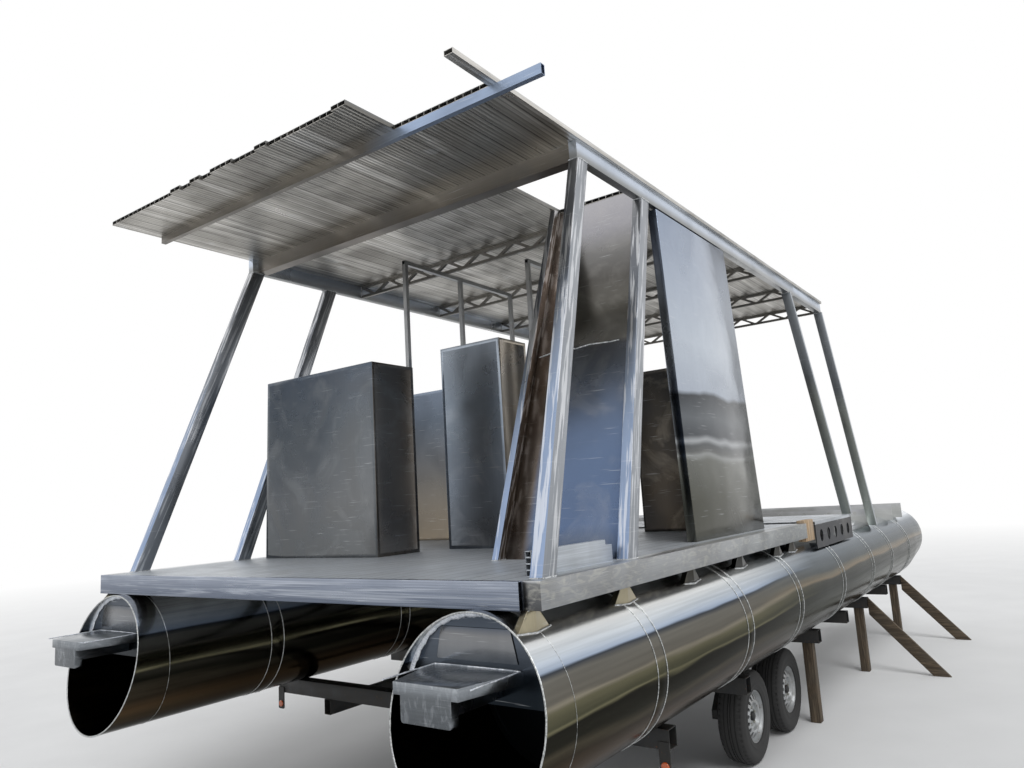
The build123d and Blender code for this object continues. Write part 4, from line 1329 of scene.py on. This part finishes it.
    def bulkhead_panel(self) -> bpy.types.Object:
        """Makes the middle field of the stern bulkhead, which stands a little proud between two folds.

        Returns:
            The panel.
        """
        middle_z = HULL_Z + self.panel_rise
        deselect()
        bpy.ops.mesh.primitive_cube_add(size=1.0, location=(self.bulkhead_x - 1 * MM, self.y, middle_z))
        panel = bpy.context.object
        panel.name = panel.data.name = f"bulkhead_panel_{self.label}"
        panel.scale = self.panel_size
        bake_place(panel)
        pick(panel, Element.VERTICES, lambda vertex: vertex.co.z > middle_z)
        with editing(panel, whole=False):
            middle = (self.bulkhead_x, self.y, middle_z)
            bpy.ops.transform.resize(value=(1, self.panel_taper, 1), center_override=middle)
        soften_edges(panel, 2.5 * MM)
        return settle(panel)

    def ring_welds(self) -> bpy.types.Object:
        """Lays two beads beside every ring seam, one at the skirt's seam and one round the slanted edge.

        Returns:
            The joined welds.
        """
        beads = []
        for shift, share in ((-0.5, 0.75), (0.5, 1.0)):
            x = STERN_X + self.seams[0] + shift * self.strip_width
            first = self.ring(x, self.radius + 0.5 * MM, share * self.bead_radius, 0.0)
            beads += repeated(first, self.seam_shifts)
        beads.append(self.ring(self.lower_ring_x, self.radius + 0.3 * MM, 1.2 * MM, 0.0))
        slant = math.atan2(self.stern_rake, self.radius)
        beads.append(self.ring(self.stern_aft_x + 1 * MM, self.radius - self.wall / 2, 4.0 * MM, slant))
        return weld_seam(f"hull_ring_welds_{self.label}", beads, 3.0 * MM, HULL_WELD)

    def ring(self, x: float, radius: float, bead: float, slant: float) -> bpy.types.Object:
        """Makes one bead round the tube.

        Args:
            x: Where the ring crosses the tube's middle.
            radius: The ring's radius.
            bead: The bead's own radius.
            slant: Angle that the ring leans by in radians.

        Returns:
            The bead.
        """
        deselect()
        bpy.ops.mesh.primitive_torus_add(
            major_segments=180, minor_segments=6, major_radius=radius, minor_radius=bead,
            rotation=(0, math.pi / 2, 0),
        )
        piece = bpy.context.object
        bpy.ops.object.transform_apply(rotation=True)
        with editing(piece):
            bpy.ops.transform.resize(value=(0.7, 1, 1), center_override=(0, 0, 0))
            bpy.ops.transform.resize(value=(1, 1, 1 / math.cos(slant)), center_override=(0, 0, 0))
        piece.rotation_euler = (0, slant, 0)
        piece.location = (x, self.y, HULL_Z)
        bake_place(piece)
        return piece


@dataclass
class Structure:
    """Deck, posts, roof and their welds."""

    # Each post end: station forward of the stern, y, and the post's size along and across the boat
    post_feet: tuple[tuple[float, float, float, float], ...] = (
        (0.109, -1.575, 0.100, 0.060), (0.190, 1.575, 0.100, 0.060),
        (0.865, -1.553, 0.100, 0.060), (0.920, 1.553, 0.100, 0.060),
        (5.125, -1.615, 0.040, 0.080), (5.125, 1.615, 0.040, 0.080),
        (0.840, -0.820, 0.100, 0.040),
    )
    post_heads: tuple[tuple[float, float, float, float], ...] = (
        (0.974, -1.393, 0.100, 0.060), (0.947, 1.393, 0.100, 0.060),
        (1.725, -1.393, 0.100, 0.060), (1.645, 1.393, 0.100, 0.060),
        (4.790, -1.393, 0.040, 0.080), (4.790, 1.393, 0.040, 0.080),
        (5.940, -1.393, 0.040, 0.080), (5.940, 1.393, 0.040, 0.080),
    )
    roof_low_z: float = 3.660
    gusset_stations: tuple[float, ...] = (0.030, 0.780, 1.550, 2.320, 3.090, 3.440)
    gusset_y: float = 1.575
    gusset_ridge_y: float = 1.588
    gusset_ridge_z: float = HULL_Z + 0.291
    gusset_foot_z: float = HULL_Z + 0.299
    gusset_foot_half: float = 0.112
    gusset_head_z: float = 1.459
    gusset_head_half: float = 0.036
    truss_stations: tuple[float, ...] = (1.975, 2.980, 3.985, 4.990, 5.945)
    truss_end_y: float = 1.366
    truss_low_z: float = 3.664
    truss_high_z: float = 3.756

    def build(self) -> None:
        """Builds and dresses the structure."""
        self.dress_nodes()
        self.soften_nodes()
        self.post_welds()
        self.gusset_welds()
        self.truss_welds()
        LOG.info("deck, posts, roof and their welds")

    def dress_nodes(self) -> None:
        """Gives finishes to the CAD nodes that stay as they are."""
        for finish, names in (
            (DECK_PLANK, ("deck_planks", "bow_deck_planks", "curb_planks")),
            (ROOF_PLANK, ("roof_planks_port", "roof_planks_starboard_aft", "roof_planks_starboard_bow")),
            (ROOF_PLANK, ("roof_edge_plank",)),
            (FASCIA_PLANK, ("stern_fascia",)),
            (UNDER_TUBE, ("deck_crossbeams",)),
            (BOW_SIDE_PLATE, ("bow_side_plates",)),
            (BOW_RIB_PLATE, ("bow_ribs",)),
            (TRUSS_BAR, ("roof_trusses",)),
            (CROSS_TUBE, ("roof_stern_beam",)),
            (OVERHANG_TUBE, ("roof_overhang_tube",)),
            (FRAME_TUBE, ("inner_frame_port", "inner_frame_centre")),
            (WELL_PLATE, ("stern_bulkheads",)),
        ):
            finish.dress(*(frame["nodes"][name] for name in names))

    def soften_nodes(self) -> None:
        """Replaces the most visible nodes with copies whose edges are softened."""
        for node, finish, width, slot in (
            ("side_beams", SIDE_BEAM_TUBE, 1.4 * MM, Slot.DULL),
            ("posts_stern", POST_TUBE, 1.2 * MM, Slot.DULL),
            ("posts_second", POST_TUBE, 1.2 * MM, Slot.DULL),
            ("hatch_post", HATCH_POST_TUBE, 1.2 * MM, Slot.DULL),
            ("posts_bow_aft", BOW_POST_TUBE, 1.2 * MM, Slot.DULL),
            ("posts_bow", BOW_POST_TUBE, 1.2 * MM, Slot.DULL),
            ("roof_beams", ROOF_BEAM_TUBE, 1.2 * MM, Slot.DULL),
            ("hull_brackets", FOLDED_PLATE, 2.0 * MM, Slot.DULL),
            ("motor_shelves", SHELF_PLATE, 2.5 * MM, Slot.ROLLED),
            ("beam_end_block", BLOCK_TIMBER, 4.0 * MM, Slot.TIMBER),
        ):
            softened(node, finish, width)

    def loop(self, end: tuple[float, float, float, float], z: float) -> list[bpy.types.Object]:
        """Lays beads round a post's end.

        Args:
            end: The end's station and y, and the post's size along and across the boat.
            z: The level of the joint.

        Returns:
            The four beads.
        """
        station, y, long, short = end
        x = STERN_X + station
        turns = ((-0.5, -0.5), (0.5, -0.5), (0.5, 0.5), (-0.5, 0.5), (-0.5, -0.5))
        corners = [(x + long * ahead, y + short * aside, z) for ahead, aside in turns]
        return [weld_run(a, b, 3.5 * MM) for a, b in pairwise(corners)]

    def post_welds(self) -> bpy.types.Object:
        """Lays the welds round the posts' feet and heads.

        Returns:
            The joined welds.
        """
        beads = []
        for foot in self.post_feet:
            beads += self.loop(foot, DECK_Z + 1 * MM)
        for head in self.post_heads:
            beads += self.loop(head, self.roof_low_z - 2 * MM)
        return weld_seam("post_end_welds", beads, 2.0 * MM, STRUCTURE_WELD)

    def gusset_welds(self) -> bpy.types.Object:
        """Lays the welds along the gussets' feet and tops.

        Returns:
            The joined welds.
        """
        beads = []
        for side in Side:
            for station in self.gusset_stations:
                x, y = STERN_X + station, side.value * self.gusset_y
                ridge = (x, side.value * self.gusset_ridge_y, self.gusset_ridge_z)
                for end_x in (x - self.gusset_foot_half, x + self.gusset_foot_half):
                    beads.append(weld_run((end_x, y, self.gusset_foot_z), ridge, 4.5 * MM))
                aft, bow = ((x + sign * self.gusset_head_half, y, self.gusset_head_z) for sign in (-1, 1))
                beads.append(weld_run(aft, bow, 3.0 * MM))
        return weld_seam("gusset_welds", beads, 3.0 * MM, STRUCTURE_WELD)

    def truss_welds(self) -> bpy.types.Object:
        """Lays the welds where the roof trusses meet its beams.

        Returns:
            The joined welds.
        """
        beads = []
        for station in self.truss_stations:
            for side in Side:
                x, y = STERN_X + station, side.value * self.truss_end_y
                beads.append(weld_run((x, y, self.truss_low_z), (x, y, self.truss_high_z), 3.0 * MM))
        return weld_seam("truss_end_welds", beads, 2.0 * MM, STRUCTURE_WELD)


@dataclass
class Panels:
    """Cabinets, the tall wall and the side wall."""

    sheet_edge: float = 2.0 * MM
    cabinet_rim: float = 20 * MM
    cabinet_recess: float = 1.5 * MM
    panel_area: float = 0.2
    wall_foot: float = 0.860
    wall_rake: float = 860 / 2090
    seam_rise: float = 1.155
    # Where the wall's weld bends: y, and how far it strays up or down there
    seam_bends: tuple[tuple[float, float], ...] = (
        (-0.83, -0.012), (-0.92, 0.004), (-1.01, 0.010), (-1.08, 0.001), (-1.17, 0.012), (-1.24, 0.008),
        (-1.31, 0.004), (-1.365, 0.006),
    )

    def build(self) -> None:
        """Builds and dresses the sheet metal."""
        for node, finish in CABINET_SHEETS.items():
            self.panel_rims(softened(node, finish, self.sheet_edge))
        for node, finish in (("hatch_wall", HATCH_WALL_SHEET), ("side_wall_panel", SIDE_WALL_SHEET)):
            softened(node, finish, self.sheet_edge)
        self.wall_seam()
        LOG.info("cabinets, tall wall and side wall")

    def wall_seam(self) -> bpy.types.Object:
        """Lays the uneven weld that joins the tall wall's two sheets.

        Returns:
            The weld.
        """
        x = STERN_X + self.wall_foot + self.wall_rake * self.seam_rise - 1 * MM
        points = [
            (x + self.wall_rake * stray, y, DECK_Z + self.seam_rise + stray) for y, stray in self.seam_bends
        ]
        beads = [weld_run(a, b, 3.5 * MM) for a, b in pairwise(points)]
        return weld_seam("tall_wall_seam", beads, 5.0 * MM, STRUCTURE_WELD)

    def panel_rims(self, piece: bpy.types.Object) -> None:
        """Sets each upright panel back a little inside its folded rim.

        Args:
            piece: The softened cabinet.
        """
        pick(piece, Element.POLYGONS, lambda face: abs(face.normal.z) < 0.3 and face.area > self.panel_area)
        with editing(piece, whole=False):
            bpy.ops.mesh.inset(thickness=self.cabinet_rim, use_individual=True)
            bpy.ops.mesh.inset(thickness=1.5 * MM, depth=-self.cabinet_recess, use_individual=True)
        settle(piece, 30.0)


@dataclass
class RoadWheel:
    """One road wheel: tyre, slotted rim, brake drum, hub cap, nuts and valve."""

    name: str
    side: Side
    station: float
    y: float = 1.253
    radius: float = 0.305
    half_width: float = 92.5 * MM
    rim_radius: float = 0.168
    slot_circle: float = 124 * MM
    slot_offset: float = 56 * MM
    slot_size: Point = (40 * MM, 25 * MM, 60 * MM)
    slot_count: int = 16
    groove: float = 7 * MM
    block_turn: float = 3.75
    nut_count: int = 5
    nut_circle: float = 56 * MM
    valve_seat: Point = (0.146, 0, 0.02)

    @property
    def centre(self) -> Point:
        """The hub's middle."""
        return STERN_X + self.station, self.side.value * self.y, self.radius

    @property
    def outward(self) -> Point:
        """The direction that the wheel's face looks."""
        return 0.0, float(self.side.value), 0.0

    def build(self) -> None:
        """Builds and dresses the wheel's pieces."""
        for piece, finish, slot, nodes in (
            (self.rim(), WHEEL_PAINT, Slot.WHEEL, (f"rim_{self.name}",)),
            (self.drum(), DRUM_IRON, Slot.STEEL, ()),
            (self.tyre(), RUBBER, Slot.TYRE, (f"tyre_{self.name}",)),
            (self.hub_cap(), CHASSIS_PAINT, Slot.STEEL, ()),
            (self.nuts(), ZINC_FASTENER, Slot.WHEEL, ()),
        ):
            fit_out(piece, finish, f"wheel_{self.name}", nodes)
        LOG.info("rim, drum, tyre, hub cap and nuts, %s", self.name)

    def rim(self) -> bpy.types.Object:
        """Turns the pressed steel rim, then cuts its ring of ventilation slots.

        Returns:
            The rim.
        """
        edge = self.rim_radius
        rim = turned(
            f"pressed_rim_{self.name}",
            ((-75 * MM, edge), (75 * MM, edge), (75 * MM, edge - 3 * MM), (66 * MM, edge - 5 * MM),
             (60 * MM, edge - 9 * MM), (48 * MM, edge - 11 * MM), (42 * MM, edge - 16 * MM),
             (45 * MM, 147 * MM), (58 * MM, 138 * MM), (68 * MM, 116 * MM), (73 * MM, 104 * MM),
             (73 * MM, 96 * MM), (69 * MM, 88 * MM), (50 * MM, 80 * MM), (46 * MM, 74 * MM),
             (46 * MM, 50 * MM), (50 * MM, 40 * MM), (50 * MM, 22 * MM), (-58 * MM, 22 * MM),
             (-58 * MM, 48 * MM), (38 * MM, 50 * MM), (41 * MM, 82 * MM), (62 * MM, 92 * MM),
             (65 * MM, 100 * MM), (60 * MM, 116 * MM), (50 * MM, 136 * MM), (34 * MM, 149 * MM),
             (-75 * MM, edge - 8 * MM)),
            self.centre, self.outward, closed=True,
        )
        cutters = []
        for index in range(self.slot_count):
            turn = 2 * math.pi * (index + 0.5) / self.slot_count
            seat = Vector(self.centre) + Vector((math.cos(turn), 0, math.sin(turn))) * self.slot_circle
            seat += Vector(self.outward) * self.slot_offset
            deselect()
            bpy.ops.mesh.primitive_cylinder_add(
                vertices=20, radius=0.5, depth=1.0, location=tuple(seat), rotation=(math.pi / 2, -turn, 0),
            )
            cutters.append(bpy.context.object)
            cutters[-1].scale = self.slot_size
            bake_place(cutters[-1])
        cutter = join(cutters, "slot_cutter")
        use_modifier(rim, "BOOLEAN", operation="DIFFERENCE", object=cutter, solver="EXACT")
        bpy.data.objects.remove(cutter)
        return settle(rim, 32.0)

    def drum(self) -> bpy.types.Object:
        """Turns the brake drum behind the rim's slots.

        Returns:
            The drum.
        """
        return turned(
            f"brake_drum_{self.name}",
            ((-46 * MM, 54 * MM), (-46 * MM, 142 * MM), (-36 * MM, 146 * MM), (6 * MM, 146 * MM),
             (12 * MM, 138 * MM), (16 * MM, 54 * MM)),
            self.centre, self.outward, segments=64, closed=True,
        )

    def hub_cap(self) -> bpy.types.Object:
        """Turns the hub's rounded cap.

        Returns:
            The cap.
        """
        return turned(
            f"hub_cap_{self.name}",
            ((40 * MM, 31 * MM), (58 * MM, 30 * MM), (66 * MM, 27 * MM), (70 * MM, 20 * MM),
             (71 * MM, 4 * MM)),
            self.centre, self.outward, segments=40, capped=True,
        )

    def tyre(self) -> bpy.types.Object:
        """Turns the tyre's profile with its tread grooves, then cuts shoulder blocks.

        Returns:
            The tyre.
        """
        w, r = self.half_width, self.radius
        side = [
            (75 * MM, self.rim_radius), (84 * MM, self.rim_radius + 6 * MM), (86 * MM, 0.190),
            (90 * MM, 0.205), (88 * MM, 0.209), (w, 0.238), (w - 1 * MM, 0.262), (w - 3 * MM, 0.266),
            (w - 8 * MM, 0.283), (w - 18 * MM, r - 9 * MM), (w - 32 * MM, r - 3 * MM),
        ]
        tread = [
            (40 * MM, r - 1.5 * MM), (39 * MM, r - self.groove), (33 * MM, r - self.groove),
            (32 * MM, r - 1 * MM), (12 * MM, r), (11 * MM, r - self.groove), (5 * MM, r - self.groove),
            (4 * MM, r),
        ]
        outer = side + tread
        profile = outer + [(-offset, radius) for offset, radius in reversed(outer)]
        piece = turned(f"tyre_body_{self.name}", profile, self.centre, self.outward, closed=True)
        centre = Vector(self.centre)

        def in_a_gap(face: bpy.types.MeshPolygon) -> bool:
            """Says whether a face lies in a gap between two shoulder blocks.

            Args:
                face: The face.

            Returns:
                True where it does.
            """
            arm = face.center - centre
            turn = math.degrees(math.atan2(arm.z, arm.x)) % 360.0
            on_shoulder = math.hypot(arm.x, arm.z) > r - 8 * MM and abs(arm.y) > 55 * MM
            return on_shoulder and int(turn / self.block_turn) % 2 == 0

        pick(piece, Element.POLYGONS, in_a_gap)
        with editing(piece, whole=False):
            bpy.ops.mesh.inset(thickness=1.5 * MM, depth=-4 * MM, use_individual=False)
        return piece

    def nuts(self) -> bpy.types.Object:
        """Turns the wheel nuts and the valve.

        Returns:
            The nuts and the valve, joined.
        """
        seats = []
        for index in range(self.nut_count):
            turn = math.radians(90 + 360 / self.nut_count * index)
            seats.append(Vector((math.cos(turn), 0, math.sin(turn))) * self.nut_circle)
        nut = turned(
            "nut", ((38 * MM, 11 * MM), (44 * MM, 11 * MM), (56 * MM, 10 * MM), (60 * MM, 6 * MM)),
            tuple(Vector(self.centre) + seats[0]), self.outward, segments=6, capped=True,
        )
        valve = turned(
            "valve", ((42 * MM, 5 * MM), (64 * MM, 4 * MM), (66 * MM, 3 * MM)),
            tuple(Vector(self.centre) + Vector(self.valve_seat)), self.outward, segments=10, capped=True,
        )
        nuts = repeated(nut, [seat - seats[0] for seat in seats[1:]])
        return join(nuts + [valve], f"wheel_nuts_{self.name}")


@dataclass
class Carriage:
    """The trailer's steel frame, its fittings and the timber under it."""

    reflector_inset: float = 30 * MM
    reflector_rise: float = 35 * MM

    def build(self) -> None:
        """Builds and dresses the trailer and the timber."""
        for node, finish, width, slot in (
            ("trailer_rails", CHASSIS_PAINT, 2.0 * MM, Slot.STEEL),
            ("trailer_bearers", CHASSIS_PAINT, 2.0 * MM, Slot.STEEL),
            ("trailer_drawbar", CHASSIS_PAINT, 1.8 * MM, Slot.STEEL),
            ("trailer_front_beam", CHASSIS_PAINT, 1.8 * MM, Slot.STEEL),
            ("trailer_coupling", CHASSIS_PAINT, 4.0 * MM, Slot.STEEL),
            ("timber_props", PROP_TIMBER, 5.0 * MM, Slot.TIMBER),
            ("timber_shores", SHORE_TIMBER, 4.0 * MM, Slot.TIMBER),
        ):
            softened(node, finish, width)
        for node in ("trailer_jack", "trailer_marker_plates", "axle_aft", "axle_bow"):
            CHASSIS_PAINT.dress(frame["nodes"][node])
        fit_out(self.reflectors(), ORANGE_REFLECTOR)
        LOG.info("trailer and timber")

    def reflectors(self) -> bpy.types.Object:
        """Turns the round reflectors on the two marker plates.

        Returns:
            The joined reflectors.
        """
        low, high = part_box("trailer_marker_plates")
        disc = ((0.0, 22 * MM), (4 * MM, 22 * MM), (7 * MM, 19 * MM), (8 * MM, 5 * MM))
        y = high.y - self.reflector_inset
        seat = (low.x, -y, low.z + self.reflector_rise)
        first = turned("reflector", disc, seat, (-1, 0, 0), segments=32, capped=True)
        return join(repeated(first, [(0, 2 * y, 0)]), "marker_reflectors")


@dataclass
class Studio:
    """Floor, lamp, background and camera."""

    floor_size: float = 120.0
    fill_strength: float = 0.62
    sun_strength: float = 1.5
    sun_angle: float = 32.0
    sun_from: Point = (-0.45, -0.55, 1.0)
    lens: float = 26.55
    sensor_width: float = 36.0
    far_end: float = 200.0
    eye: Point = (-6.759, -3.275, 1.873)
    right: Point = (0.5863, -0.8080, -0.0593)
    up: Point = (-0.0894, -0.1373, 0.9865)

    def build(self) -> None:
        """Sets the floor, the light and the camera."""
        self.floor()
        self.background()
        self.lamp()
        self.camera()
        LOG.info("studio and camera")

    def floor(self) -> None:
        """Lays the floor."""
        deselect()
        bpy.ops.mesh.primitive_plane_add(size=self.floor_size)
        plane = bpy.context.object
        plane.name = "studio_floor"
        StudioFloor("plain_studio_floor").dress(plane)

    def background(self) -> None:
        """Sets a background that shows white and lights the object as a soft fill."""
        world = bpy.data.worlds.new("studio_white")
        bpy.context.scene.world = world
        world.use_nodes = True
        tree = world.node_tree
        tree.nodes.clear()
        rays = add(tree, "LightPath").outputs
        seen = add(tree, "Math", {0: rays["Is Camera Ray"], 1: rays["Is Glossy Ray"]}, operation="MAXIMUM")
        seen = add(tree, "Math", {0: seen, 1: rays["Is Transmission Ray"]}, operation="MAXIMUM")
        strength = add(tree, "MapRange", {"Value": seen, "To Min": self.fill_strength, "To Max": 1.0})
        background = add(tree, "Background", {"Color": WHITE, "Strength": strength})
        add(tree, "OutputWorld", {"Surface": background})

    def lamp(self) -> None:
        """Hangs one broad lamp above and astern."""
        lamp = bpy.data.lights.new("broad_lamp", "SUN")
        lamp.energy = self.sun_strength
        lamp.angle = math.radians(self.sun_angle)
        holder = bpy.data.objects.new("broad_lamp", lamp)
        bpy.context.scene.collection.objects.link(holder)
        holder.rotation_euler = Vector(self.sun_from).to_track_quat("Z", "Y").to_euler()

    def camera(self) -> None:
        """Sets the camera at the photograph's viewing angle."""
        data = bpy.data.cameras.new("photo_camera")
        data.lens = self.lens
        data.sensor_width = self.sensor_width
        data.clip_end = self.far_end
        holder = bpy.data.objects.new("photo_camera", data)
        bpy.context.scene.collection.objects.link(holder)
        right = Vector(self.right).normalized()
        back = right.cross(Vector(self.up)).normalized()
        up = back.cross(right)
        holder.matrix_world = Matrix((
            (right.x, up.x, back.x, self.eye[0]), (right.y, up.y, back.y, self.eye[1]),
            (right.z, up.z, back.z, self.eye[2]), (0, 0, 0, 1),
        ))
        bpy.context.scene.camera = holder


def main() -> None:
    """Builds the whole scene."""
    logging.basicConfig(level=logging.INFO, format="%(message)s")
    bpy.context.scene.view_settings.view_transform = "Standard"
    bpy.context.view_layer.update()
    for side in Side:
        HullShell(side).build()
    Structure().build()
    Panels().build()
    for side in Side:
        for axle, station in (("aft", 2.985), ("bow", 3.780)):
            RoadWheel(f"{side.name.lower()}_{axle}", side, station).build()
    Carriage().build()
    Studio().build()


if __name__ == "__main__":
    main()
